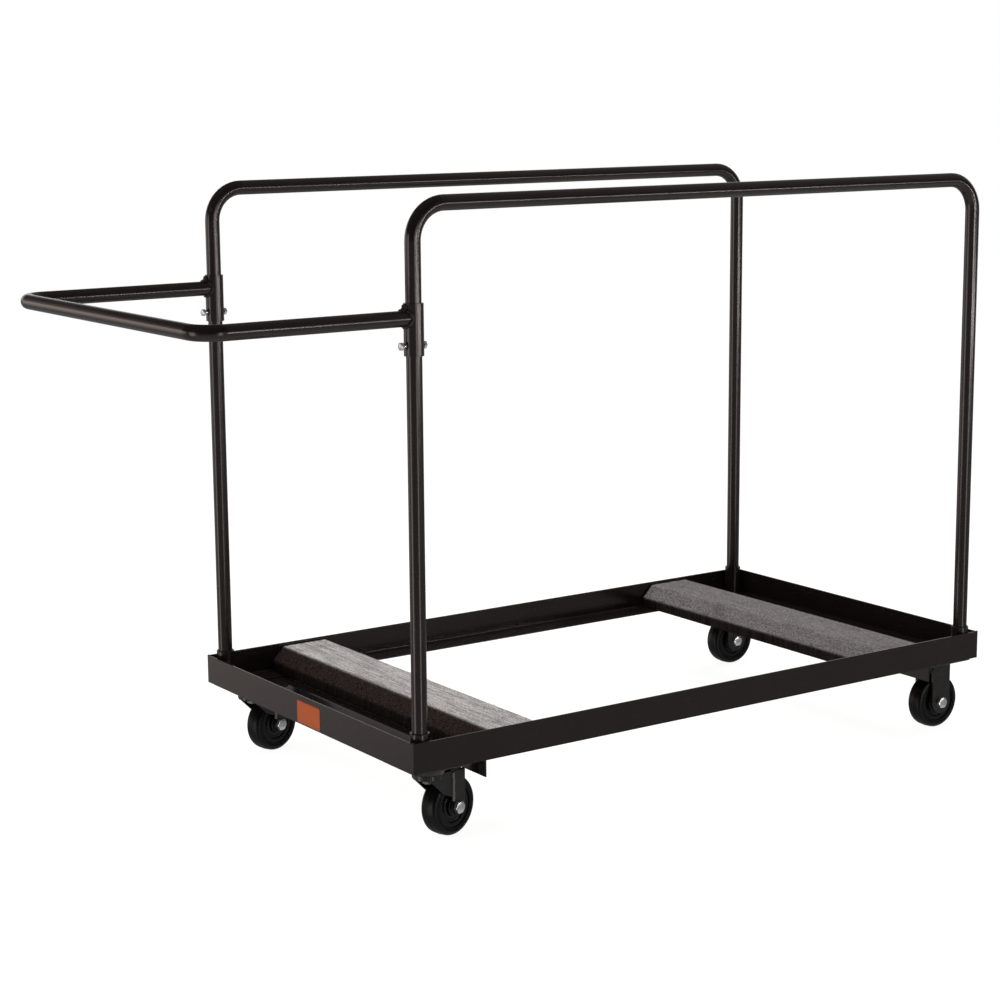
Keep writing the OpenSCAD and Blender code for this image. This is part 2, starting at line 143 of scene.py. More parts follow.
# %% Floor
FLOOR_HALF = 9.0
GLOW_SHARE = 0.72
GLOW_STRENGTH = 1.3
floor_mesh = bpy.data.meshes.new("floor")
corners = [(x * FLOOR_HALF, y * FLOOR_HALF, 0) for x, y in ((-1, -1), (1, -1), (1, 1), (-1, 1))]
floor_mesh.from_pydata(corners, [], [(0, 1, 2, 3)])
floor = bpy.data.objects.new("floor", floor_mesh)
floor.visible_glossy = False
bpy.context.scene.collection.objects.link(floor)

sweep, tree = new_material("white_paper_sweep")
rays = add(tree, "ShaderNodeLightPath")
direct = add(tree, "ShaderNodeMath", {
    0: rays.outputs["Is Camera Ray"], 1: rays.outputs["Is Transmission Ray"]}, operation="MAXIMUM")
share = add(tree, "ShaderNodeMath", {0: direct.outputs[0], 1: GLOW_SHARE}, operation="MULTIPLY")
paper = add(tree, "ShaderNodeBsdfDiffuse", {"Color": linear("#f4f3f1")})
glow = add(tree, "ShaderNodeEmission", {"Color": linear("#ffffff"), "Strength": GLOW_STRENGTH})
mixed = add(tree, "ShaderNodeMixShader", {0: share.outputs[0], 1: paper.outputs[0], 2: glow.outputs[0]})
add(tree, "ShaderNodeOutputMaterial", {"Surface": mixed.outputs[0]})
floor_mesh.materials.append(sweep)
print("stage", floor.name, sweep.name)

# %% [markdown]
# ## Studio
#
# The world is white to the camera, and gives matt surfaces an even soft light. Gloss shows a dark room
# with a few bright things in it. A white backdrop stands low behind the trolley and lights the flat tops
# of the rails. A broad card on the handle's side gives each post its soft grey band, and a narrow one in
# front gives it the thin bright line. A dimmer, warmer card at the back left lifts the rear rail. The
# paper is light only near the trolley, so it shows where one looks steeply down.

# %% World
SOFT_LIGHT = 0.34
DARK_ROOM = 0.04
studio = bpy.data.worlds.new("studio")
studio.use_nodes = True
tree = studio.node_tree
tree.nodes.clear()
rays = add(tree, "ShaderNodeLightPath")
heading = add(tree, "ShaderNodeTexCoord").outputs["Generated"]
heading_x, heading_y, height = add(tree, "ShaderNodeSeparateXYZ", {0: heading}).outputs
level_heading = add(tree, "ShaderNodeVectorMath", {0: heading, 1: (1, 1, 0)}, operation="MULTIPLY")
compass = add(tree, "ShaderNodeVectorMath", {0: level_heading.outputs[0]}, operation="NORMALIZE")


def card(direction, inner, outer, strength):
    """The brightness of a card towards a compass direction, even within inner and gone at outer degrees."""
    facing = add(tree, "ShaderNodeVectorMath", {
        0: compass.outputs[0], 1: direction}, operation="DOT_PRODUCT")
    return add(tree, "ShaderNodeMapRange", {
        "Value": facing.outputs["Value"], "From Min": math.cos(math.radians(outer)),
        "From Max": math.cos(math.radians(inner)), "To Max": strength}).outputs["Result"]


def within(strength, value, gone, full):
    """A brightness that fades in as a value goes from gone to full."""
    fade = add(tree, "ShaderNodeMapRange", {"Value": value, "From Min": gone, "From Max": full})
    shown = add(tree, "ShaderNodeMath", {0: strength, 1: fade.outputs["Result"]}, operation="MULTIPLY")
    return shown.outputs[0]


handle_card = card((-0.985, 0.17, 0), inner=8, outer=14, strength=2.6)
front_card = card((0.0, -1.0, 0), inner=4, outer=8, strength=3.4)
corner_card = card((-0.56, 0.828, 0), inner=12, outer=26, strength=1.6)
corner_card = within(corner_card, height, -0.38, 0.0)
upright_cards = [within(within(s, height, -0.55, -0.42), height, 0.2, 0.1)
                 for s in (handle_card, front_card, corner_card)]
backdrop = card((0.566, 0.824, 0), inner=40, outer=66, strength=1.0)
backdrop = within(within(backdrop, height, -0.03, 0.03), height, 0.36, 0.18)
right_wall = within(within(0.24, heading_x, 0.3, 0.6), height, 0.1, 0.3)
paper_near = within(within(0.55, height, -0.25, -0.5), heading_y, 0.7, 0.2)
paper_far = within(0.27, height, 0.03, -0.03)
brightest = DARK_ROOM
for glow in (*upright_cards, backdrop, right_wall, paper_near, paper_far):
    brightest = add(tree, "ShaderNodeMath", {0: brightest, 1: glow}, operation="MAXIMUM").outputs[0]
plain = add(tree, "ShaderNodeMix", {0: rays.outputs["Is Glossy Ray"], 2: SOFT_LIGHT, 3: brightest})
direct = add(tree, "ShaderNodeMath", {
    0: rays.outputs["Is Camera Ray"], 1: rays.outputs["Is Transmission Ray"]}, operation="MAXIMUM")
strength = add(tree, "ShaderNodeMix", {0: direct.outputs[0], 2: plain.outputs[0], 3: 1.0})
warmth = add(tree, "ShaderNodeMath", {
    0: corner_card, 1: rays.outputs["Is Glossy Ray"]}, operation="MULTIPLY")
colour = add(tree, "ShaderNodeMix", {
    0: warmth.outputs[0], 6: linear("#ffffff"), 7: linear("#ffede4")}, data_type="RGBA")
sky = add(tree, "ShaderNodeBackground", {"Color": colour.outputs[2], "Strength": strength.outputs[0]})
add(tree, "ShaderNodeOutputWorld", {"Surface": sky.outputs[0]})
bpy.context.scene.world = studio
print("world", studio.name, len(tree.nodes), "nodes")

# %% [markdown]
# ## Lamps
#
# A wide soft box overhead lights the boards, and a smaller one on the handle's side fills in. Both are
# kept out of reflections, which the studio's cards take care of. Two level strips do the opposite: they
# only show in gloss, as the thin line along the hoops and the slightly broader one along the handle.

# %% Lamps
AIM = Vector((0.17, 0.0, 0.45))


def soft_box(name, place, width, height, watts, mirrored=True, matt=True):
    """A lamp that faces the middle of the trolley, seen in mirrors, on matt surfaces, or both."""
    lamp = bpy.data.lights.new(name, "AREA")
    lamp.shape = "RECTANGLE"
    lamp.size = width
    lamp.size_y = height
    lamp.energy = watts
    holder = bpy.data.objects.new(name, lamp)
    holder.location = place
    holder.rotation_euler = (AIM - Vector(place)).to_track_quat("-Z", "Y").to_euler()
    holder.visible_camera = False
    holder.visible_glossy = mirrored
    holder.visible_diffuse = matt
    bpy.context.scene.collection.objects.link(holder)
    return holder


lamps = [
    soft_box("overhead_box", (0.1, 0.5, 3.6), 3.2, 2.6, 70, mirrored=False),
    soft_box("handle_side_box", (-3.3, 0.2, 0.9), 1.7, 1.25, 18, mirrored=False),
    soft_box("level_strip", (1.7, -3.2, 0.49), 2.8, 0.1, 20, matt=False),
    soft_box("handle_strip", (0.7, -3.7, 0.82), 1.1, 0.2, 9, matt=False)]
print("lamps", [(lamp.name, lamp.data.energy) for lamp in lamps])

# %% [markdown]
# ## Powder coat
#
# The frame is steel with a polyester powder coat, baked to a dark brown-black. The powder flows into a
# faint orange peel, a few millimetres from hump to hump, and its gloss varies a little. A noise of that
# size drives the bump, a broader one drifts the colour and the gloss, and a sparse one leaves the small
# dull rub marks of handling.

# %% Powder-coated steel
# To the eye: nearly black and warm, with clear dark reflections that are softened at their edges.
powder_coat, tree = new_material("powder_coated_steel")
place = add(tree, "ShaderNodeTexCoord").outputs["Object"]
drift = add(tree, "ShaderNodeTexNoise", {"Vector": place, "Scale": 1 / (70 * MM), "Detail": 3.0})
rubs = add(tree, "ShaderNodeTexNoise", {"Vector": place, "Scale": 1 / (11 * MM), "Detail": 6.0})
rubbed = add(tree, "ShaderNodeMapRange", {
    "Value": rubs.outputs["Fac"], "From Min": 0.66, "From Max": 0.74, "To Max": 0.6})
tone = add(tree, "ShaderNodeMix", {
    0: drift.outputs["Fac"], 6: linear("#191312"), 7: linear("#1e1716")}, data_type="RGBA")
marked = add(tree, "ShaderNodeMix", {
    0: rubbed.outputs["Result"], 6: tone.outputs[2], 7: linear("#383029")}, data_type="RGBA")
gloss = add(tree, "ShaderNodeMapRange", {"Value": drift.outputs["Fac"], "To Min": 0.15, "To Max": 0.24})
peel = add(tree, "ShaderNodeTexNoise", {"Vector": place, "Scale": 1 / (3 * MM), "Detail": 2.0})
bump = add(tree, "ShaderNodeBump", {"Height": peel.outputs["Fac"], "Strength": 0.25, "Distance": 0.1 * MM})
surface = add(tree, "ShaderNodeBsdfPrincipled", {
    "Base Color": marked.outputs[2], "Roughness": gloss.outputs["Result"],
    "Normal": bump.outputs["Normal"], "IOR": 1.5, "Specular Tint": linear("#fff3f0")})
add(tree, "ShaderNodeOutputMaterial", {"Surface": surface.outputs["BSDF"]})
print("finish", powder_coat.name)

# %% [markdown]
# ## Caster coat, zinc, bearing steel and wood
#
# The caster forks are pressed steel under a thin black electro-coat, a little smoother than the
# powder. They are rubbed through where they are folded, with a painted highlight down each fold. The
# bolts are zinc plate, pale and slightly cloudy, and the clouding makes them less of a mirror than bare
# metal. The bearings are ground steel with fine turning marks. The boards are softwood, with grain along
# their length.

# %% Electro-coated pressed steel
# To the eye: black with a slight brown, and scuffs that show as changes of gloss more than of colour.
caster_coat, tree = new_material("electro_coated_steel")
place = add(tree, "ShaderNodeTexCoord").outputs["Object"]
scuff = add(tree, "ShaderNodeTexNoise", {"Vector": place, "Scale": 1 / (18 * MM), "Detail": 5.0})
tone = add(tree, "ShaderNodeMix", {
    0: scuff.outputs["Fac"], 6: linear("#161210"), 7: linear("#1f1a18")}, data_type="RGBA")
gloss = add(tree, "ShaderNodeMapRange", {"Value": scuff.outputs["Fac"], "To Min": 0.2, "To Max": 0.36})
surface = add(tree, "ShaderNodeBsdfPrincipled", {
    "Base Color": tone.outputs[2], "Roughness": gloss.outputs["Result"], "IOR": 1.5})
add(tree, "ShaderNodeOutputMaterial", {"Surface": surface.outputs["BSDF"]})
print("finish", caster_coat.name)

# %% Rubbed electro-coat
# To the eye: a dull grey edge, where handling has worn the thin coat down to the steel in patches. On the
# fork folds this pale grey also stands for a painted highlight.
rubbed_coat_and_painted_highlight, tree = new_material("rubbed_electro_coat_and_painted_highlight")
place = add(tree, "ShaderNodeTexCoord").outputs["Object"]
wear = add(tree, "ShaderNodeTexNoise", {"Vector": place, "Scale": 1 / (6 * MM), "Detail": 4.0})
tone = add(tree, "ShaderNodeMix", {
    0: wear.outputs["Fac"], 6: linear("#3a3431"), 7: linear("#8b837d")}, data_type="RGBA")
surface = add(tree, "ShaderNodeBsdfPrincipled", {"Base Color": tone.outputs[2], "Roughness": 0.4})
add(tree, "ShaderNodeOutputMaterial", {"Surface": surface.outputs["BSDF"]})
print("finish", rubbed_coat_and_painted_highlight.name)

# %% Zinc-plated steel
# To the eye: pale and silvery, with a haze that keeps it light even where it mirrors something dark.
zinc_plate, tree = new_material("zinc_plated_steel")
place = add(tree, "ShaderNodeTexCoord").outputs["Object"]
cloud = add(tree, "ShaderNodeTexNoise", {"Vector": place, "Scale": 1 / (4 * MM), "Detail": 4.0})
tone = add(tree, "ShaderNodeMix", {
    0: cloud.outputs["Fac"], 6: linear("#c2c4c6"), 7: linear("#e6e7e7")}, data_type="RGBA")
gloss = add(tree, "ShaderNodeMapRange", {"Value": cloud.outputs["Fac"], "To Min": 0.15, "To Max": 0.32})
surface = add(tree, "ShaderNodeBsdfPrincipled", {
    "Base Color": tone.outputs[2], "Roughness": gloss.outputs["Result"], "Metallic": 0.85})
add(tree, "ShaderNodeOutputMaterial", {"Surface": surface.outputs["BSDF"]})
print("finish", zinc_plate.name)

# %% Ground bearing steel
# To the eye: a grey mirror, dulled by marks that run too close together to be told apart. They are drawn
# coarser than real turning marks, which no picture of the whole trolley could show.
bearing_steel, tree = new_material("ground_bearing_steel")
place = add(tree, "ShaderNodeTexCoord").outputs["Object"]
marks = add(tree, "ShaderNodeTexNoise", {"Vector": place, "Scale": 1 / (1.5 * MM), "Detail": 2.0})
gloss = add(tree, "ShaderNodeMapRange", {"Value": marks.outputs["Fac"], "To Min": 0.18, "To Max": 0.36})
surface = add(tree, "ShaderNodeBsdfPrincipled", {
    "Base Color": linear("#a5a6a8"), "Roughness": gloss.outputs["Result"], "Metallic": 1.0})
add(tree, "ShaderNodeOutputMaterial", {"Surface": surface.outputs["BSDF"]})
print("finish", bearing_steel.name)

# %% Sawn softwood
# To the eye: dry and yellow-brown, with darker late wood in long bands and a rough sawn face.
softwood, tree = new_material("sawn_softwood")
place = add(tree, "ShaderNodeTexCoord").outputs["Object"]
along = add(tree, "ShaderNodeMapping", {
    "Vector": place, "Scale": (1 / (7 * MM), 1 / (260 * MM), 1 / (7 * MM))})
grain = add(tree, "ShaderNodeTexNoise", {
    "Vector": along.outputs[0], "Scale": 1.0, "Detail": 4.0, "Distortion": 0.6})
tone = add(tree, "ShaderNodeMix", {
    0: grain.outputs["Fac"], 6: linear("#8d6a45"), 7: linear("#c9a576")}, data_type="RGBA")
bump = add(tree, "ShaderNodeBump", {"Height": grain.outputs["Fac"], "Strength": 0.3, "Distance": 0.3 * MM})
surface = add(tree, "ShaderNodeBsdfPrincipled", {
    "Base Color": tone.outputs[2], "Roughness": 0.7, "Normal": bump.outputs["Normal"]})
add(tree, "ShaderNodeOutputMaterial", {"Surface": surface.outputs["BSDF"]})
print("finish", softwood.name)

# %% [markdown]
# ## Rubber and moulded wheel centres
#
# The tyres are hard black rubber. The mould left them fairly smooth, but rubber mirrors less than a
# coat does, so they stay the blackest part of the trolley. The wheel centres are moulded polyolefin,
# a touch smoother, with faint flow marks.

# %% Moulded rubber and polyolefin
# To the eye: deep black with small soft glints, broken up by the pores of the rubber. Real pores are finer
# than a pixel, so they are drawn coarse enough to show.
rubber, tree = new_material("moulded_black_rubber")
place = add(tree, "ShaderNodeTexCoord").outputs["Object"]
pores = add(tree, "ShaderNodeTexNoise", {"Vector": place, "Scale": 1 / (9 * MM), "Detail": 6.0})
tone = add(tree, "ShaderNodeMix", {
    0: pores.outputs["Fac"], 6: linear("#070707"), 7: linear("#0d0d0d")}, data_type="RGBA")
gloss = add(tree, "ShaderNodeMapRange", {"Value": pores.outputs["Fac"], "To Min": 0.24, "To Max": 0.42})
bump = add(tree, "ShaderNodeBump", {"Height": pores.outputs["Fac"], "Strength": 0.1, "Distance": 0.3 * MM})
surface = add(tree, "ShaderNodeBsdfPrincipled", {
    "Base Color": tone.outputs[2], "Roughness": gloss.outputs["Result"],
    "Normal": bump.outputs["Normal"], "Specular IOR Level": 0.16})
add(tree, "ShaderNodeOutputMaterial", {"Surface": surface.outputs["BSDF"]})

# To the eye: the same black as the tyre, a little greyer and more even.
moulded_hub, tree = new_material("moulded_black_polyolefin")
place = add(tree, "ShaderNodeTexCoord").outputs["Object"]
flow = add(tree, "ShaderNodeTexNoise", {"Vector": place, "Scale": 1 / (22 * MM), "Detail": 3.0})
tone = add(tree, "ShaderNodeMix", {
    0: flow.outputs["Fac"], 6: linear("#080808"), 7: linear("#0f0f0f")}, data_type="RGBA")
gloss = add(tree, "ShaderNodeMapRange", {"Value": flow.outputs["Fac"], "To Min": 0.22, "To Max": 0.34})
surface = add(tree, "ShaderNodeBsdfPrincipled", {
    "Base Color": tone.outputs[2], "Roughness": gloss.outputs["Result"], "Specular IOR Level": 0.25})
add(tree, "ShaderNodeOutputMaterial", {"Surface": surface.outputs["BSDF"]})
print("finishes", rubber.name, moulded_hub.name)

# %% [markdown]
# ## Finishing the CAD pieces
#
# The tubes, rails, sockets, forks and plates are already the right shape, so they keep their solids
# and take a finish by their slot in the record. Only the kingpins differ: they take the grey of the
# rubbed coat in place of zinc. Coated steel never has a knife edge, so the flat pieces get a small
# bevel, which is what catches the thin bright lines along the rails. Normals weighted by area keep the
# large faces flat, or truly round, right up to the bevel.

# %% Finishes by slot, and softened edges
finish_of_slot = {
    "powder_coat": powder_coat, "caster_coat": caster_coat, "zinc_plate": zinc_plate, "tyre": rubber,
    "bearing_steel": bearing_steel, "board_wood": softwood, "wheel_core": moulded_hub}
EDGE_ROUND_MM = {
    "side_rail": 0.4, "end_rail": 0.4, "cross_angle": 0.7, "post_socket": 0.7, "handle_sleeve": 0.7,
    "swivel_plate": 0.8, "swivel_fork": 0.8, "rigid_fork": 1.0}
MERGE_WITHIN = 0.01 * MM
SHARP_EDGE = math.radians(40)
softened = 0
for part in frame["record"]["subparts"]:
    node = nodes[part["node"]]
    if part["material_slot"] in finish_of_slot:
        node.material_slots[0].material = finish_of_slot[part["material_slot"]]
    if part["node"].startswith("kingpin"):
        node.material_slots[0].material = rubbed_coat_and_painted_highlight
    for kind, width in EDGE_ROUND_MM.items():
        if part["node"].startswith(kind):
            merge = node.modifiers.new("merge_corners", "WELD")
            merge.merge_threshold = MERGE_WITHIN
            soften = node.modifiers.new("soften_edges", "BEVEL")
            soften.width = width * MM
            soften.segments = 2
            soften.limit_method = "ANGLE"
            soften.angle_limit = SHARP_EDGE
            node.modifiers.new("even_shading", "WEIGHTED_NORMAL")
            softened += 1
print("softened", softened, "pieces")

# %% [markdown]
# ## Meshes made in code
#
# Some pieces are better made new than softened: turned and moulded ones come from a profile that is
# spun round an axis. One helper rounds the corners of a profile with arcs, another spins it and puts
# it on any axis. The mesh holds its own place, so each object can stay at the origin.

# %% Helpers for new pieces
def show(name, mesh, body, material=None):
    """Links a finished mesh as a piece that moves with a body, with the finish it is given."""
    piece = bpy.data.objects.new(name, mesh)
    bpy.context.scene.collection.objects.link(piece)
    if material is not None:
        mesh.materials.append(material)
    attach(piece, body)
    return piece


def axis_frame(centre, axis):
    """The matrix that moves the origin to centre and turns +Z to axis."""
    return Matrix.Translation(centre) @ Vector(axis).to_track_quat("Z", "Y").to_matrix().to_4x4()


def rounded_path(corners, steps=6):
    """The points of a path through corners of (across, up, radius), with an arc at each inner corner."""
    places = [Vector(corner[:2]) for corner in corners]
    path = [places[0]]
    for before, here, after, corner in zip(places, places[1:], places[2:], corners[1:]):
        radius = corner[2]
        back = (before - here).normalized()
        on = (after - here).normalized()
        half = back.angle(on) / 2
        reach = radius / math.tan(half)
        middle = here + (back + on).normalized() * (radius / math.sin(half))
        start = (here + back * reach - middle).normalized()
        stop = (here + on * reach - middle).normalized()
        path += [middle + radius * start.slerp(stop, i / steps) for i in range(steps + 1)]
    return path + [places[-1]]


print("helpers ready")

# %% Spinning a profile
def spin(shape, profile, steps, place, closed=False):
    """Adds a profile of (radius, height) spun round Z to a bmesh, then moves it into place."""
    rings = []
    for radius, height in profile:
        if radius < 1e-7:
            rings.append([shape.verts.new((0, 0, height))])
        else:
            turn = [math.tau * i / steps for i in range(steps)]
            rings.append([
                shape.verts.new((radius * math.cos(a), radius * math.sin(a), height)) for a in turn])
    pairs = list(zip(rings, rings[1:]))
    if closed:
        pairs.append((rings[-1], rings[0]))
    for low, high in pairs:
        for i in range(steps):
            j = (i + 1) % steps
            corner = [low[i % len(low)], low[j % len(low)], high[j % len(high)], high[i % len(high)]]
            shape.faces.new(list(dict.fromkeys(corner)))
    bmesh.ops.transform(shape, matrix=place, verts=[v for ring in rings for v in ring])


def to_mesh(shape, name, flat_angle=35):
    """Turns a bmesh into a mesh whose faces point outwards, smooth except across sharp edges."""
    bmesh.ops.recalc_face_normals(shape, faces=shape.faces[:])
    mesh = bpy.data.meshes.new(name)
    shape.to_mesh(mesh)
    shape.free()
    mesh.polygons.foreach_set("use_smooth", [True] * len(mesh.polygons))
    mesh.set_sharp_from_angle(angle=math.radians(flat_angle))
    return mesh


print("spinning ready")

# %% [markdown]
# ## Wheels
#
# A wheel is a rubber tyre moulded round a black centre. The tyre's tread rolls over into round
# shoulders, a thin line of flash marks where the mould closed, and a raised ring marks where the tyre
# meets the centre. The centre is dished between its rim and its hub. Both are spun from one half
# profile, mirrored about the wheel's middle plane, which keeps the two sides alike.

# %% Tyres and wheel centres
WHEEL_R, WHEEL_HALF, CORE_R = 50.8, 17.0, 36.8
RIM_HALF, HUB_R, HUB_HALF, BORE_R, WEB_HALF = 14.0, 17.0, 18.5, 11.1, 10.5
FLASH = 0.35
TREAD_R = WHEEL_R - FLASH
LIP = WHEEL_HALF - 1.1
WHEEL_STEPS = 96
tyre_half = rounded_path([
    (CORE_R + 0.05, RIM_HALF - 0.8, 0), (CORE_R + 0.05, LIP, 0.7), (CORE_R + 2.3, LIP, 0.7),
    (CORE_R + 2.9, LIP - 1.6, 0.6), (CORE_R + 4.6, WHEEL_HALF - 0.4, 2.0), (TREAD_R - 0.5, WHEEL_HALF, 7.5),
    (TREAD_R, 1.0, 0.4), (WHEEL_R, 0.6, 0.2), (WHEEL_R, 0.1, 0)])
centre_half = rounded_path([
    (BORE_R, HUB_HALF - 1.5, 0), (BORE_R, HUB_HALF, 0.5), (HUB_R, HUB_HALF, 1.0),
    (HUB_R + 0.6, WEB_HALF, 3.0), (CORE_R - 8.6, WEB_HALF, 3.0), (CORE_R - 7.4, RIM_HALF, 1.2),
    (CORE_R, RIM_HALF, 0.8), (CORE_R, RIM_HALF - 1.2, 0)])


def mirrored_loop(half):
    """A closed profile in metres from one half of it in millimetres."""
    whole = [tuple(p) for p in half] + [(radius, -height) for radius, height in reversed(half)]
    return [(radius * MM, height * MM) for radius, height in whole]


for end in ("rear", "front"):
    for side in ("left", "right"):
        spinning = joints[f"wheel_{end}_{side}_spin"]
        place = axis_frame(spinning["pos_m"], spinning["axis"])
        for kind, half, finish in (("tyre", tyre_half, rubber), ("wheel_core", centre_half, moulded_hub)):
            shape = bmesh.new()
            spin(shape, mirrored_loop(half), WHEEL_STEPS, place, closed=True)
            name = f"moulded_{kind}_{end}_{side}"
            piece = show(name, to_mesh(shape, name), spinning["child"], finish)
            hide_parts(f"{kind}_{end}_{side}")
            print(piece.name, len(piece.data.polygons), "faces")

# %% [markdown]
# ## Bolts and nuts
#
# Cold-headed hex bolts have a flat top whose corners are turned off by a cone, which leaves the curved
# edges that a plain prism lacks. The outline of a hexagon is a radius for each angle, so the cone's cut
# is a height for each angle. The thread is a row of ridges on the shank.

# %% Hex blocks and shanks
HEX_STEPS = 48
TOP_SHARE = 0.92
MIDDLE_SHARE = 0.02
CONE = math.radians(30)
PLAY = 0.1 * MM


def hex_radius(across, angle):
    """Distance from the middle to the side of a hexagon at an angle."""
    return across / 2 / math.cos((angle % (math.pi / 3)) - math.pi / 6)


def hex_block(shape, across, height, place, bore=0.0):
    """Adds a hexagonal block with cone-turned corners: a bolt's head, or a nut where it has a bore."""
    turn = [math.tau * i / HEX_STEPS for i in range(HEX_STEPS)]
    sides = [hex_radius(across, angle) for angle in turn]
    flat = [TOP_SHARE * across / 2] * HEX_STEPS
    inner = [bore / 2 or MIDDLE_SHARE * across] * HEX_STEPS
    cuts = [max(0.0, side - flat[0]) * math.tan(CONE) for side in sides]
    base, top = [0.0] * HEX_STEPS, [height] * HEX_STEPS
    low_edge = cuts if bore else base
    high_edge = [height - cut for cut in cuts]
    rings = []
    for radii, heights in ((inner, base), (flat, base), (sides, low_edge), (sides, high_edge), (flat, top),
                           (inner, top)):
        rings.append([shape.verts.new((r * math.cos(a), r * math.sin(a), h))
                      for r, a, h in zip(radii, turn, heights)])
    pairs = list(zip(rings, rings[1:]))
    if bore:
        pairs.append((rings[-1], rings[0]))
    else:
        shape.faces.new(rings[0])
        shape.faces.new(rings[-1])
    for a, b in pairs:
        for i in range(HEX_STEPS):
            j = (i + 1) % HEX_STEPS
            shape.faces.new([a[i], a[j], b[j], b[i]])
    bmesh.ops.transform(shape, matrix=place, verts=[v for ring in rings for v in ring])


def shank(shape, diameter, start, end, thread, pitch, place):
    """Adds a bolt's shank from start to end along Z, with ridges over the first part of it."""
    r = diameter / 2
    profile = [(0, start), (r - 0.6 * pitch, start)]
    height = start + 0.4 * pitch
    while height < start + thread:
        profile += [(r, height + 0.25 * pitch), (r - 0.5 * pitch, height + 0.75 * pitch)]
        height += pitch
    profile += [(r, height + 0.5 * pitch), (r, end), (0, end)]
    spin(shape, profile, HEX_STEPS, place)


def fasten(bolts, nuts, size, head_at, nut_at, place):
    """Adds a bolt with its head and nut at two heights along Z, in sizes named as in the tables below."""
    tail = nut_at - size["nut"]
    hex_block(bolts, size["across"], size["head"], place @ Matrix.Translation((0, 0, head_at)))
    shank(bolts, size["shank"], tail - size["tail"], head_at + MM, size["thread"], size["pitch"], place)
    nut_place = place @ Matrix.Translation((0, 0, tail))
    hex_block(nuts, size["across"], size["nut"], nut_place, bore=size["shank"] + PLAY)


print("hexagon corner at", round(hex_radius(1.0, 0.0), 4), "of the width across flats")

# %% Axle bolts and nuts
AXLE_MM = {"shank": 12.7, "across": 19.05, "head": 6.5, "nut": 8.2, "thread": 12, "pitch": 1.9, "tail": 2}
AXLE = {name: size * MM for name, size in AXLE_MM.items()}
FORK_HALF = 23.5 * MM
for end in ("rear", "front"):
    for side in ("left", "right"):
        spinning = joints[f"wheel_{end}_{side}_spin"]
        place = axis_frame(spinning["pos_m"], -Vector(spinning["axis"]))
        bolt, nut = bmesh.new(), bmesh.new()
        fasten(bolt, nut, AXLE, FORK_HALF, -FORK_HALF, place)
        for kind, shape in (("bolt", bolt), ("nut", nut)):
            name = f"axle_hex_{kind}_{end}_{side}"
            piece = show(name, to_mesh(shape, name), spinning["parent"], zinc_plate)
            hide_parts(f"axle_{kind}_{end}_{side}")
            print(piece.name, len(piece.data.polygons), "faces")

# %% Handle bolts and nuts
BOLT_MM = {"shank": 7.9, "across": 11.85, "head": 4.97, "nut": 5.13, "thread": 12, "pitch": 1.4, "tail": 2}
BOLT = {name: size * MM for name, size in BOLT_MM.items()}
STANDOFF = 5 * MM
bolts, nuts = bmesh.new(), bmesh.new()
bolt_height = (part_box("handle_nuts")[0].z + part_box("handle_nuts")[1].z) / 2
for side in ("left", "right"):
    low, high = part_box(f"handle_sleeve_{side}")
    middle = (low + high) / 2
    half = (high.x - low.x) / 2
    place = axis_frame((middle.x, middle.y, bolt_height), (-1, 0, 0))
    fasten(bolts, nuts, BOLT, half + STANDOFF, -half, place)
for kind, shape in (("bolts", bolts), ("nuts", nuts)):
    name = f"handle_hex_{kind}"
    piece = show(name, to_mesh(shape, name), "uprights", zinc_plate)
    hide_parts(f"handle_{kind}")
    print(piece.name, len(piece.data.polygons), "faces")

# %% [markdown]
# ## Carpet
#
# Each board is wrapped in a grey needle-punch carpet, a felt of short fibres a few millimetres thick.
# It bends round the board's bevels in soft curves. Its colour is painted light and shade by which way
# each face turns. The top is pale, a painted sheen, and the inner bevel is a little darker. The bevel
# towards the end of the trolley and the upright sides are dark brown, a painted shade. The upright sides
# also show fine upright streaks, and a painted shadow darkens them further. The sheet is a section swept
# along the board, with an attribute that holds this painted light for the material to read. Real fibres
# are finer than a pixel of the picture, so the speckle is drawn coarse enough to show.

# %% Needle-punch carpet
# To the eye: matt, speckled grey with broken dark lines along the board. Painted shade makes it nearly
# black on the outer bevel and the upright sides.
carpet, tree = new_material("needle_punch_carpet")
place = add(tree, "ShaderNodeTexCoord").outputs["Object"]
# This attribute is painted light: near 1 on the lit top, near 0 where painted shade darkens the felt.
painted_light = add(tree, "ShaderNodeAttribute", attribute_name="painted_light").outputs["Fac"]
upright = add(tree, "ShaderNodeAttribute", attribute_name="upright").outputs["Fac"]
fibre = add(tree, "ShaderNodeTexNoise", {
    "Vector": place, "Scale": 1 / (2.6 * MM), "Detail": 4.0, "Roughness": 0.65})
rows = add(tree, "ShaderNodeMapping", {
    "Vector": place, "Scale": (1 / (3.2 * MM), 1 / (64 * MM), 1 / (3.2 * MM))})
streak = add(tree, "ShaderNodeTexNoise", {"Vector": rows.outputs[0], "Scale": 1.0, "Detail": 4.0})
folds = add(tree, "ShaderNodeMapping", {
    "Vector": place, "Scale": (1 / (60 * MM), 1 / (3.2 * MM), 1 / (60 * MM))})
comb = add(tree, "ShaderNodeTexNoise", {"Vector": folds.outputs[0], "Scale": 1.0, "Detail": 2.0})
smudge = add(tree, "ShaderNodeTexNoise", {"Vector": place, "Scale": 1 / (85 * MM), "Detail": 4.0})
lined = add(tree, "ShaderNodeMath", {0: painted_light, 1: 0.4}, operation="MULTIPLY")
combed = add(tree, "ShaderNodeMath", {0: upright, 1: 0.5}, operation="MULTIPLY")
flat = add(tree, "ShaderNodeMix", {0: lined.outputs[0], 2: fibre.outputs["Fac"], 3: streak.outputs["Fac"]})
speck = add(tree, "ShaderNodeMix", {0: combed.outputs[0], 2: flat.outputs[0], 3: comb.outputs["Fac"]})
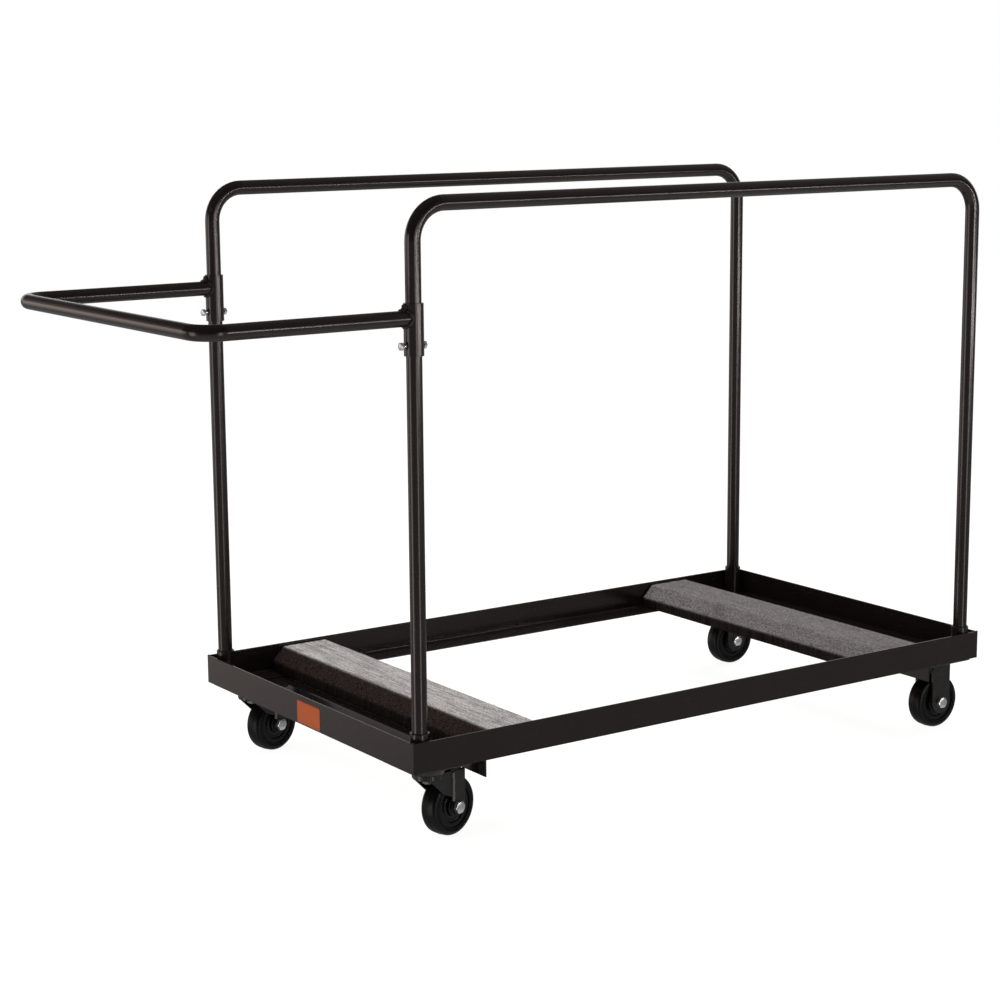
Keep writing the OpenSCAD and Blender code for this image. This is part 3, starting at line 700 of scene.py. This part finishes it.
spread = add(tree, "ShaderNodeMapRange", {"Value": speck.outputs[0], "From Min": 0.42, "From Max": 0.57})
# A lit and a shaded copy of the same felt, mixed by the painted light attribute.
lit_felt = add(tree, "ShaderNodeMix", {
    0: spread.outputs["Result"], 6: linear("#8b8684"), 7: linear("#ddd7d5")}, data_type="RGBA")
shaded_felt = add(tree, "ShaderNodeMix", {
    0: spread.outputs["Result"], 6: linear("#1a1412"), 7: linear("#3e332f")}, data_type="RGBA")
felt = add(tree, "ShaderNodeMix", {0: painted_light, 6: shaded_felt.outputs[2], 7: lit_felt.outputs[2]}, data_type="RGBA")
# The upright sides are darkened further towards near black: a painted shadow.
shade = add(tree, "ShaderNodeMath", {0: upright, 1: 0.6}, operation="MULTIPLY")
painted_shadow = add(tree, "ShaderNodeMix", {
    0: shade.outputs[0], 6: felt.outputs[2], 7: linear("#080504")}, data_type="RGBA")
dirt = add(tree, "ShaderNodeMapRange", {
    "Value": smudge.outputs["Fac"], "From Min": 0.58, "From Max": 0.72, "To Max": 0.35})
worn = add(tree, "ShaderNodeMix", {
    0: dirt.outputs["Result"], 6: painted_shadow.outputs[2], 7: linear("#332b27")}, data_type="RGBA")
bump = add(tree, "ShaderNodeBump", {"Height": speck.outputs[0], "Strength": 0.7, "Distance": 0.9 * MM})
surface = add(tree, "ShaderNodeBsdfPrincipled", {
    "Base Color": worn.outputs[2], "Roughness": 0.95, "Normal": bump.outputs["Normal"],
    "Specular IOR Level": 0.1})
add(tree, "ShaderNodeOutputMaterial", {"Surface": surface.outputs["BSDF"]})
print("finish", carpet.name)

# %% The section of a wrapped board
CARPET_T = 4.2 * MM
BEVEL = 24.1 * MM
BEND_R = 6.5 * MM
SECTION_STEP = 2.6 * MM
ROW_STEP = 3.6 * MM
PILE = 0.45 * MM
PILE_CAP = 0.3 * PILE
PILE_GRAIN = 5 * MM
INNER_SHADE = 0.2
BEVEL_LEAN = 0.66
SIDE_LEAN = 0.75
STREAK_LEAN = 0.8


def resampled(path, step):
    """The path at even steps, with its side normals and its length."""
    lengths = np.concatenate([[0], np.cumsum([(b - a).length for a, b in zip(path, path[1:])])])
    at = np.linspace(0, lengths[-1], round(lengths[-1] / step) + 1)
    points = np.stack([np.interp(at, lengths, [p[k] for p in path]) for k in (0, 1)], 1)
    along = np.gradient(points, axis=0)
    along /= np.linalg.norm(along, axis=1)[:, None]
    return points, np.stack([-along[:, 1], along[:, 0]], 1), float(lengths[-1])


def wrap_section(low, high):
    """The outer line of the carpet across a board, from one lower edge over the top to the other."""
    line = rounded_path([
        (low.x, low.z, 0), (low.x, high.z - BEVEL, BEND_R), (low.x + BEVEL, high.z, BEND_R),
        (high.x - BEVEL, high.z, BEND_R), (high.x, high.z - BEVEL, BEND_R), (high.x, low.z, 0)])
    return resampled(line, SECTION_STEP)


def share_of(value, start, stop):
    """How far value is from start to stop, held between 0 and 1."""
    return min(1.0, max(0.0, (value - start) / (stop - start)))


print("section", round(wrap_section(*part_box("deck_carpet_rear"))[2] / MM, 1), "mm round a board")

# %% The two wrapped boards
def carpet_sheet(node, outer_side, paleness):
    """A closed felt sheet over a board and its cut. It has painted shade towards outer_side, and painted
    sheen scaled by the last argument.
    """
    low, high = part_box(node)
    points, normals, girth = wrap_section(low, high)
    y = np.linspace(low.y, high.y, round((high.y - low.y) / ROW_STEP) + 1)
    count, rows = len(points), len(y)
    verts, painted_light_values, upright_values = [], [], []
    for outer_layer in (True, False):
        for v in y:
            for (x, z), (nx, nz) in zip(points, normals):
                lump = PILE * noise.fractal(Vector((x, v, z)) / PILE_GRAIN, 0.8, 2.0, 3)
                rise = min(lump, PILE_CAP) if outer_layer else -CARPET_T
                verts.append((x + nx * rise, v, z + nz * rise))
                # Painted light and shade by which way a face turns: darker towards the outer side and on
                # upright faces,
                # and a little darker on the inner bevel.
                turned_out = share_of(nx * outer_side, 0.0, BEVEL_LEAN)
                inward = 1 - INNER_SHADE * share_of(-nx * outer_side, 0.0, BEVEL_LEAN)
                sideways = share_of(abs(nx), SIDE_LEAN, 1.0)
                painted_light_values.append(paleness * inward * (1 - turned_out) * (1 - sideways))
                upright_values.append(share_of(abs(nx), STREAK_LEAN, 1.0))
    faces = []
    layer = count * rows
    for r in range(rows - 1):
        for c in range(count - 1):
            a = r * count + c
            faces.append((a, a + 1, a + count + 1, a + count))
            faces.append((layer + a, layer + a + count, layer + a + count + 1, layer + a + 1))
    rim = list(range(count))
    rim += [r * count + count - 1 for r in range(1, rows)]
    rim += [(rows - 1) * count + c for c in range(count - 2, -1, -1)]
    rim += [r * count for r in range(rows - 2, 0, -1)]
    for a, b in zip(rim, rim[1:] + rim[:1]):
        faces.append((b, a, layer + a, layer + b))
    mesh = bpy.data.meshes.new("carpet_sheet")
    mesh.from_pydata(verts, [], faces)
    for name, values in (("painted_light", painted_light_values), ("upright", upright_values)):
        mesh.attributes.new(name, "FLOAT", "POINT").data.foreach_set("value", values)
    shape = bmesh.new()
    shape.from_mesh(mesh)
    bmesh.ops.recalc_face_normals(shape, faces=shape.faces[:])
    shape.to_mesh(mesh)
    shape.free()
    mesh.polygons.foreach_set("use_smooth", [True] * len(mesh.polygons))
    return mesh, (girth, high.y - low.y)


carpets, cuts = {}, {}
# The last number scales the painted sheen. The front board's is smaller, so it comes out darker overall.
for end, outer_side, paleness in (("rear", -1, 1.0), ("front", 1, 0.44)):
    mesh, cuts[end] = carpet_sheet(f"deck_carpet_{end}", outer_side, paleness)
    carpets[end] = show(f"carpet_wrap_{end}", mesh, "base", carpet)
    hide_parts(f"deck_carpet_{end}")
    print(carpets[end].name, len(mesh.polygons), "faces, cut", [round(v, 4) for v in cuts[end]])

# %% [markdown]
# ## Stray fibres
#
# A needle-punch felt is never quite shorn: short ends of fibre stand out of it everywhere. Geometry
# Nodes scatter thousands of them over the sheet, each a three-sided spike with its own lean, thicker than
# a real fibre so that it shows. A fixed seed gives the same fuzz each time. The spikes are joined into
# one plain mesh for each board.

# %% Helpers for geometry trees
def tree_with_inputs(name, inputs):
    """A geometry tree with named inputs after its geometry, and its input and output nodes."""
    tree = bpy.data.node_groups.new(name, "GeometryNodeTree")
    tree.interface.new_socket("Geometry", in_out="INPUT", socket_type="NodeSocketGeometry")
    tree.interface.new_socket("Geometry", in_out="OUTPUT", socket_type="NodeSocketGeometry")
    for label, kind in inputs:
        tree.interface.new_socket(label, in_out="INPUT", socket_type=kind)
    return tree, add(tree, "NodeGroupInput"), add(tree, "NodeGroupOutput")


def grown(name, source, tree, values):
    """The plain mesh that a tree makes from a source mesh, with the tree's inputs set by their names."""
    holder = bpy.data.objects.new(name, source)
    bpy.context.scene.collection.objects.link(holder)
    growth = holder.modifiers.new("growth", "NODES")
    growth.node_group = tree
    for item in tree.interface.items_tree:
        if item.in_out == "INPUT" and item.name in values:
            growth[item.identifier] = values[item.name]
    graph = bpy.context.evaluated_depsgraph_get()
    mesh = bpy.data.meshes.new_from_object(holder.evaluated_get(graph))
    holder.modifiers.clear()
    bpy.data.objects.remove(holder)
    mesh.name = name
    return mesh


print("tree helpers ready")

# %% Fuzz on the carpets
FIBRES_PER_SQUARE_METRE = 34000.0
FIBRE_LENGTH = 2.4 * MM
FIBRE_R = 0.28 * MM
TIP_R = 0.02 * MM
MOST_LEAN = 1.1
fuzz_tree, given, made = tree_with_inputs("carpet_fuzz", [
    ("Fibres per square metre", "NodeSocketFloat"), ("Fibre length", "NodeSocketFloat"),
    ("Fibre radius", "NodeSocketFloat"), ("Lean", "NodeSocketFloat"), ("Seed", "NodeSocketInt"),
    ("Finish", "NodeSocketMaterial")])
scattered = add(fuzz_tree, "GeometryNodeDistributePointsOnFaces", {
    "Mesh": given.outputs["Geometry"], "Density": given.outputs["Fibres per square metre"],
    "Seed": given.outputs["Seed"]})
spike = add(fuzz_tree, "GeometryNodeMeshCone", {
    "Vertices": 3, "Radius Top": TIP_R, "Radius Bottom": given.outputs["Fibre radius"],
    "Depth": given.outputs["Fibre length"]})
least = add(fuzz_tree, "ShaderNodeMath", {0: given.outputs["Lean"], 1: -1.0}, operation="MULTIPLY")
lean_low = add(fuzz_tree, "ShaderNodeCombineXYZ", {0: least.outputs[0], 1: least.outputs[0], 2: -math.pi})
lean_high = add(fuzz_tree, "ShaderNodeCombineXYZ", {
    0: given.outputs["Lean"], 1: given.outputs["Lean"], 2: math.pi})
lean = add(fuzz_tree, "FunctionNodeRandomValue", {
    0: lean_low.outputs[0], 1: lean_high.outputs[0], "Seed": given.outputs["Seed"]},
    data_type="FLOAT_VECTOR")
turned = add(fuzz_tree, "FunctionNodeEulerToRotation", {0: lean.outputs[0]})
standing = add(fuzz_tree, "FunctionNodeRotateRotation", {
    0: scattered.outputs["Rotation"], 1: turned.outputs[0]}, rotation_space="LOCAL")
placed = add(fuzz_tree, "GeometryNodeInstanceOnPoints", {
    "Points": scattered.outputs["Points"], "Instance": spike.outputs["Mesh"],
    "Rotation": standing.outputs[0]})
real = add(fuzz_tree, "GeometryNodeRealizeInstances", {"Geometry": placed.outputs["Instances"]})
coloured = add(fuzz_tree, "GeometryNodeSetMaterial", {
    "Geometry": real.outputs[0], "Material": given.outputs["Finish"]})
fuzz_tree.links.new(coloured.outputs[0], made.inputs["Geometry"])

for seed, end in enumerate(("rear", "front"), 3):
    mesh = grown(f"carpet_fuzz_{end}", carpets[end].data.copy(), fuzz_tree, {
        "Fibres per square metre": FIBRES_PER_SQUARE_METRE, "Fibre length": FIBRE_LENGTH,
        "Fibre radius": FIBRE_R, "Lean": MOST_LEAN, "Seed": seed, "Finish": carpet})
    fuzz = show(f"carpet_fuzz_{end}", mesh, "base")
    print(mesh.name, len(mesh.polygons), "faces")

# %% [markdown]
# ## Sticker
#
# A plain orange vinyl label sits on the rear rail. Its corners are die-cut round, and it is a film, so
# it is a thin closed plate that stands a hair off the coat. Its outline is four quarter circles.

# %% Vinyl film
# To the eye: satin orange, slightly uneven, and deeper along the cut edge.
vinyl, tree = new_material("cast_vinyl_film")
place = add(tree, "ShaderNodeTexCoord").outputs["Object"]
low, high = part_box("sticker")
half_size = (high - low) / 2
EDGE_BAND = 3 * MM
centred = add(tree, "ShaderNodeMapping", {"Vector": place, "Location": tuple(-(low + high) / 2)})
parts = add(tree, "ShaderNodeSeparateXYZ", {0: centred.outputs[0]})
across = add(tree, "ShaderNodeMath", {0: parts.outputs["Y"]}, operation="ABSOLUTE")
up = add(tree, "ShaderNodeMath", {0: parts.outputs["Z"]}, operation="ABSOLUTE")
edge_y = add(tree, "ShaderNodeMapRange", {
    "Value": across.outputs[0], "From Min": half_size.y - EDGE_BAND, "From Max": half_size.y})
edge_z = add(tree, "ShaderNodeMapRange", {
    "Value": up.outputs[0], "From Min": half_size.z - EDGE_BAND, "From Max": half_size.z})
edge = add(tree, "ShaderNodeMath", {
    0: edge_y.outputs["Result"], 1: edge_z.outputs["Result"]}, operation="MAXIMUM")
fade = add(tree, "ShaderNodeTexNoise", {"Vector": place, "Scale": 1 / (14 * MM), "Detail": 3.0})
face = add(tree, "ShaderNodeMix", {
    0: fade.outputs["Fac"], 6: linear("#b74d15"), 7: linear("#c35a1d")}, data_type="RGBA")
tone = add(tree, "ShaderNodeMix", {
    0: edge.outputs[0], 6: face.outputs[2], 7: linear("#8f3c12")}, data_type="RGBA")
gloss = add(tree, "ShaderNodeMapRange", {"Value": fade.outputs["Fac"], "To Min": 0.45, "To Max": 0.6})
surface = add(tree, "ShaderNodeBsdfPrincipled", {
    "Base Color": tone.outputs[2], "Roughness": gloss.outputs["Result"]})
add(tree, "ShaderNodeOutputMaterial", {"Surface": surface.outputs["BSDF"]})
print("finish", vinyl.name)

# %% The sticker
CORNER_R = 4 * MM
CORNER_STEPS = 8
shape = bmesh.new()
outline = []
centre = (low + high) / 2
for sy, sz, start in ((1, 1, 0), (-1, 1, 90), (-1, -1, 180), (1, -1, 270)):
    corner_y = centre.y + sy * (half_size.y - CORNER_R)
    corner_z = centre.z + sz * (half_size.z - CORNER_R)
    for i in range(CORNER_STEPS + 1):
        angle = math.radians(start + 90 * i / CORNER_STEPS)
        outline.append((corner_y + CORNER_R * math.cos(angle), corner_z + CORNER_R * math.sin(angle)))
film = [[shape.verts.new((x, y, z)) for y, z in outline] for x in (low.x, high.x)]
for ring in film:
    shape.faces.new(ring)
for i in range(len(outline)):
    j = (i + 1) % len(outline)
    shape.faces.new([film[0][i], film[0][j], film[1][j], film[1][i]])
sticker = show("vinyl_sticker", to_mesh(shape, "vinyl_sticker"), "base", vinyl)
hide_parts("sticker")
print(sticker.name, len(sticker.data.polygons), "faces")

# %% [markdown]
# ## Weld beads
#
# A weld is a row of overlapping pools of metal, each frozen a moment after the last. Geometry Nodes lay
# a flattened ball every few millimetres along a path, turned to the path's direction, with a little
# random size. The paths are the seams where a welder would run: round the sockets, along the caster
# plates and cross angles, on the mitres, and round the handle where it meets its sleeves.

# %% A tree that lays weld ripples
RIPPLE_LENGTH = 2.2
SMALLEST_RIPPLE, LARGEST_RIPPLE = 0.8, 1.15
weld_tree, given, made = tree_with_inputs("weld_ripples", [
    ("Ripple spacing", "NodeSocketFloat"), ("Bead width", "NodeSocketFloat"),
    ("Bead height", "NodeSocketFloat"), ("Seed", "NodeSocketInt"), ("Finish", "NodeSocketMaterial")])
seam = add(weld_tree, "GeometryNodeMeshToCurve", {"Mesh": given.outputs["Geometry"]})
stops = add(weld_tree, "GeometryNodeResampleCurve", {
    "Curve": seam.outputs[0], "Length": given.outputs["Ripple spacing"]}, mode="LENGTH")
ball = add(weld_tree, "GeometryNodeMeshUVSphere", {"Segments": 8, "Rings": 6, "Radius": 0.5})
tangent = add(weld_tree, "GeometryNodeInputTangent")
turned = add(weld_tree, "FunctionNodeAlignRotationToVector", {"Vector": tangent.outputs[0]}, axis="X")
length = add(weld_tree, "ShaderNodeMath", {
    0: given.outputs["Ripple spacing"], 1: RIPPLE_LENGTH}, operation="MULTIPLY")
size = add(weld_tree, "ShaderNodeCombineXYZ", {
    0: length.outputs[0], 1: given.outputs["Bead width"], 2: given.outputs["Bead height"]})
vary = add(weld_tree, "FunctionNodeRandomValue", {
    2: SMALLEST_RIPPLE, 3: LARGEST_RIPPLE, "Seed": given.outputs["Seed"]}, data_type="FLOAT")
scaled = add(weld_tree, "ShaderNodeVectorMath", {
    0: size.outputs[0], "Scale": vary.outputs[1]}, operation="SCALE")
laid = add(weld_tree, "GeometryNodeInstanceOnPoints", {
    "Points": stops.outputs[0], "Instance": ball.outputs["Mesh"], "Rotation": turned.outputs[0],
    "Scale": scaled.outputs[0]})
real = add(weld_tree, "GeometryNodeRealizeInstances", {"Geometry": laid.outputs[0]})
smooth = add(weld_tree, "GeometryNodeSetShadeSmooth", {"Geometry": real.outputs[0]})
coated = add(weld_tree, "GeometryNodeSetMaterial", {
    "Geometry": smooth.outputs[0], "Material": given.outputs["Finish"]})
weld_tree.links.new(coated.outputs[0], made.inputs["Geometry"])


def lines(name, paths):
    """A mesh of edges along paths of points, for a tree to turn into curves."""
    edges = []
    for path in paths:
        start = edges[-1][1] + 1 if edges else 0
        edges += [(start + i, start + i + 1) for i in range(len(path) - 1)]
    mesh = bpy.data.meshes.new(name)
    mesh.from_pydata([point for path in paths for point in path], edges, [])
    return mesh


def weld(name, paths, body, spacing_mm, width_mm, height_mm, seed):
    """A piece of weld beads along paths of points."""
    mesh = grown(name, lines(name, paths), weld_tree, {
        "Ripple spacing": spacing_mm * MM, "Bead width": width_mm * MM, "Bead height": height_mm * MM,
        "Seed": seed, "Finish": powder_coat})
    show(name, mesh, body)
    print(name, len(paths), "seams", len(mesh.polygons), "faces")


print("tree", weld_tree.name)

# %% Welds at the corners of the base frame
RAIL_T = 3.2 * MM
SOCKET_RISE = 0.6 * MM
INNER_DROP = 3 * MM
MITRE_DROP = 0.6 * MM
MITRE_STOPS = [d * MM for d in (1.4, 2.6, 4.2)]
TACK_DROP, TACK_IN = 1.6 * MM, 0.8 * MM
TACK_STOPS = [d * MM for d in (-9, 0, 9)]
FULL_TURN = [math.radians(a) for a in range(0, 361, 12)]
socket_seams, mitre_seams, inner_seams = [], [], []
for end, way in (("rear", -1), ("front", 1)):
    for side, hand in (("left", 1), ("right", -1)):
        low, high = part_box(f"post_socket_{end}_{side}")
        middle = (low + high) / 2
        r = (high.x - low.x) / 2
        socket_seams.append([
            (middle.x + r * math.cos(a), middle.y + r * math.sin(a), low.z + SOCKET_RISE) for a in FULL_TURN])
        rail_low, rail_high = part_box(f"side_rail_{side}")
        corner_x = rail_high.x if way > 0 else rail_low.x
        corner_y = rail_high.y if hand > 0 else rail_low.y
        inside_x = corner_x - way * RAIL_T
        inside_y = corner_y - hand * RAIL_T
        inner_seams.append([(inside_x, inside_y, rail_high.z - INNER_DROP), (inside_x, inside_y, low.z)])
        mitre_seams.append([
            (corner_x - way * d, corner_y - hand * d, rail_high.z - MITRE_DROP) for d in MITRE_STOPS])
        mitre_seams.append([
            (middle.x + d, inside_y - hand * TACK_IN, rail_high.z - TACK_DROP) for d in TACK_STOPS])
weld("socket_welds", socket_seams, "base", spacing_mm=2.2, width_mm=4.2, height_mm=4.2, seed=1)
weld("mitre_welds", mitre_seams, "base", spacing_mm=2.0, width_mm=4.6, height_mm=4.0, seed=2)
weld("corner_welds", inner_seams, "base", spacing_mm=2.2, width_mm=3.4, height_mm=3.4, seed=3)

# %% Welds under the base frame
PLATE_CORNER = 6 * MM
PLATE_DROP = 1.8 * MM
CROSS_START, CROSS_RUN = 2 * MM, 38 * MM
CROSS_DROP = 0.8 * MM
plate_seams, cross_seams = [], []
for end, way, plate in (("rear", -1, "swivel_plate"), ("front", 1, "rigid_fork")):
    for side, hand in (("left", 1), ("right", -1)):
        low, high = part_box(f"{plate}_{side}")
        x_out, x_in = (high.x, low.x) if way > 0 else (low.x, high.x)
        y_out, y_in = (high.y, low.y) if hand > 0 else (low.y, high.y)
        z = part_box(f"side_rail_{side}")[0].z - PLATE_DROP
        plate_seams.append([(x_in, y_out, z), (x_out - way * PLATE_CORNER, y_out, z),
                            (x_out, y_out - hand * PLATE_CORNER, z), (x_out, y_in, z)])
    low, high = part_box(f"cross_angle_{end}")
    z = high.z - CROSS_DROP
    for hand, y in ((1, high.y), (-1, low.y)):
        for x in (low.x, high.x):
            cross_seams.append([(x, y - hand * CROSS_START, z), (x, y - hand * CROSS_RUN, z)])
        cross_seams.append([(low.x, y, z), (high.x, y, z)])
weld("caster_plate_welds", plate_seams, "base", spacing_mm=4.0, width_mm=6.6, height_mm=5.2, seed=4)
weld("cross_angle_welds", cross_seams, "base", spacing_mm=2.4, width_mm=3.8, height_mm=3.4, seed=5)

# %% Welds of the handle
tube_low, tube_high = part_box("handle_bar")
tube_r = (tube_high.z - tube_low.z) / 2
tube_z = (tube_high.z + tube_low.z) / 2
RING_LIFT = 0.8 * MM
FILLET_OUT = 7.5 * MM
FILLET_DROP = 2.4 * MM
FILLET_STEPS = 6
FILLET_RUNS = ((1.0, 0.0), (0.55, 0.0), (0.8, 4 * MM), (0.8, -4 * MM))
ring_seams, fillet_seams = [], []
for side in ("left", "right"):
    low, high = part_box(f"handle_sleeve_{side}")
    middle = (low + high) / 2
    r = (high.x - low.x) / 2 + RING_LIFT
    seam_r = tube_r + RING_LIFT
    ring_seams.append([
        (middle.x - math.sqrt(r * r - (seam_r * math.sin(a)) ** 2), middle.y + seam_r * math.sin(a),
         tube_z + seam_r * math.cos(a)) for a in FULL_TURN])
    top = tube_z + tube_r
    rise = high.z - FILLET_DROP - top
    for reach, offset in FILLET_RUNS:
        quarter = [math.radians(90 * i / FILLET_STEPS) for i in range(FILLET_STEPS + 1)]
        fillet_seams.append([
            (middle.x - r - reach * FILLET_OUT * (1 - math.sin(a)), middle.y + offset,
             top + reach * rise * (1 - math.cos(a))) for a in quarter])
weld("handle_ring_welds", ring_seams, "uprights", spacing_mm=2.6, width_mm=7.0, height_mm=6.2, seed=6)
weld("handle_fillet_welds", fillet_seams, "uprights", spacing_mm=2.0, width_mm=6.0, height_mm=4.4, seed=7)

# %% [markdown]
# ## Pressed details of the swivel casters
#
# A swivel fork is pressed from one sheet, so a rounded fold runs down the front of each leg, and the top
# edge behind the race is rolled over. Geometry Nodes sweep a round bar along each of these edges. The
# folds take a pale grey: worn coat, with a painted highlight down each fold. The plate above carries a
# stamped cup that keeps dirt off the balls. It is turned round the kingpin, so it clears the fork at
# every angle.

# %% A tree that sweeps a round bar
bar_tree, given, made = tree_with_inputs("round_bar", [
    ("Bar radius", "NodeSocketFloat"), ("Corner radius", "NodeSocketFloat"),
    ("Finish", "NodeSocketMaterial")])
edge_line = add(bar_tree, "GeometryNodeMeshToCurve", {"Mesh": given.outputs["Geometry"]})
eased = add(bar_tree, "GeometryNodeFilletCurve", {
    "Curve": edge_line.outputs[0], "Count": 6, "Radius": given.outputs["Corner radius"]}, mode="POLY")
ring = add(bar_tree, "GeometryNodeCurvePrimitiveCircle", {
    "Resolution": 16, "Radius": given.outputs["Bar radius"]})
swept = add(bar_tree, "GeometryNodeCurveToMesh", {
    "Curve": eased.outputs[0], "Profile Curve": ring.outputs[0], "Fill Caps": True})
smooth = add(bar_tree, "GeometryNodeSetShadeSmooth", {"Geometry": swept.outputs[0]})
real = add(bar_tree, "GeometryNodeRealizeInstances", {"Geometry": smooth.outputs[0]})
coated = add(bar_tree, "GeometryNodeSetMaterial", {
    "Geometry": real.outputs[0], "Material": given.outputs["Finish"]})
bar_tree.links.new(coated.outputs[0], made.inputs["Geometry"])


def swept_bar(name, paths, body, radius, corner_radius, finish):
    """A piece of round bars along paths of points."""
    mesh = grown(name, lines(name, paths), bar_tree, {
        "Bar radius": radius, "Corner radius": corner_radius, "Finish": finish})
    show(name, mesh, body)
    print(name, len(paths), "bars", len(mesh.polygons), "faces")


print("tree", bar_tree.name)

# %% Folds, rolled edges and race cups
FOLD_R, FOLD_BACK, FOLD_SIDE, FOLD_TOP, FOLD_FOOT = 2.5 * MM, 38.2 * MM, 21.5 * MM, 4 * MM, 12 * MM
ROLL_R, ROLL_START, ROLL_END, ROLL_SIDE = 4.2 * MM, 32 * MM, 60 * MM, 18.6 * MM
ROLL_RISE, ROLL_BEND = 0.6 * MM, 8 * MM
CUP_TOP_R, CUP_LOW_R, CUP_BORE_R, CUP_FOOT, PLATE_T = 33 * MM, 28 * MM, 23.2 * MM, 1.8 * MM, 5 * MM
for side in ("left", "right"):
    pin = Vector(joints[f"swivel_{side}_turn"]["pos_m"])
    spinning = joints[f"wheel_rear_{side}_spin"]
    axle = Vector(spinning["pos_m"])
    back = Vector((axle.x - pin.x, axle.y - pin.y, 0)).normalized()
    aside = Vector((-back.y, back.x, 0))
    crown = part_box(f"swivel_fork_{side}")[1].z
    middle = Vector((pin.x, pin.y, 0))
    folds = [[middle + FOLD_BACK * back + hand * FOLD_SIDE * aside + Vector((0, 0, z))
              for z in (crown - FOLD_TOP, axle.z + FOLD_FOOT)] for hand in (1, -1)]
    # The folds' pale grey is worn coat with a painted highlight down each fold.
    swept_bar(f"pressed_fork_folds_{side}", folds, spinning["parent"], FOLD_R, 0.0, rubbed_coat_and_painted_highlight)
    roll = [middle + reach * back + width * aside + Vector((0, 0, crown + ROLL_RISE))
            for reach, width in ((ROLL_START, ROLL_SIDE), (ROLL_END, ROLL_SIDE), (ROLL_END, -ROLL_SIDE),
                                 (ROLL_START, -ROLL_SIDE))]
    swept_bar(f"rolled_fork_edge_{side}", [roll], spinning["parent"], ROLL_R, ROLL_BEND, caster_coat)
    plate_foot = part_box(f"swivel_plate_{side}")[1].z - PLATE_T
    shape = bmesh.new()
    cup = [(CUP_BORE_R, crown + CUP_FOOT), (CUP_LOW_R, crown + CUP_FOOT), (CUP_TOP_R, plate_foot),
           (CUP_BORE_R, plate_foot)]
    spin(shape, cup, WHEEL_STEPS, Matrix.Translation(middle), closed=True)
    name = f"stamped_race_cup_{side}"
    show(name, to_mesh(shape, name), "base", caster_coat)
    print(name, "over", round(crown / MM, 1), "to", round(plate_foot / MM, 1), "mm")
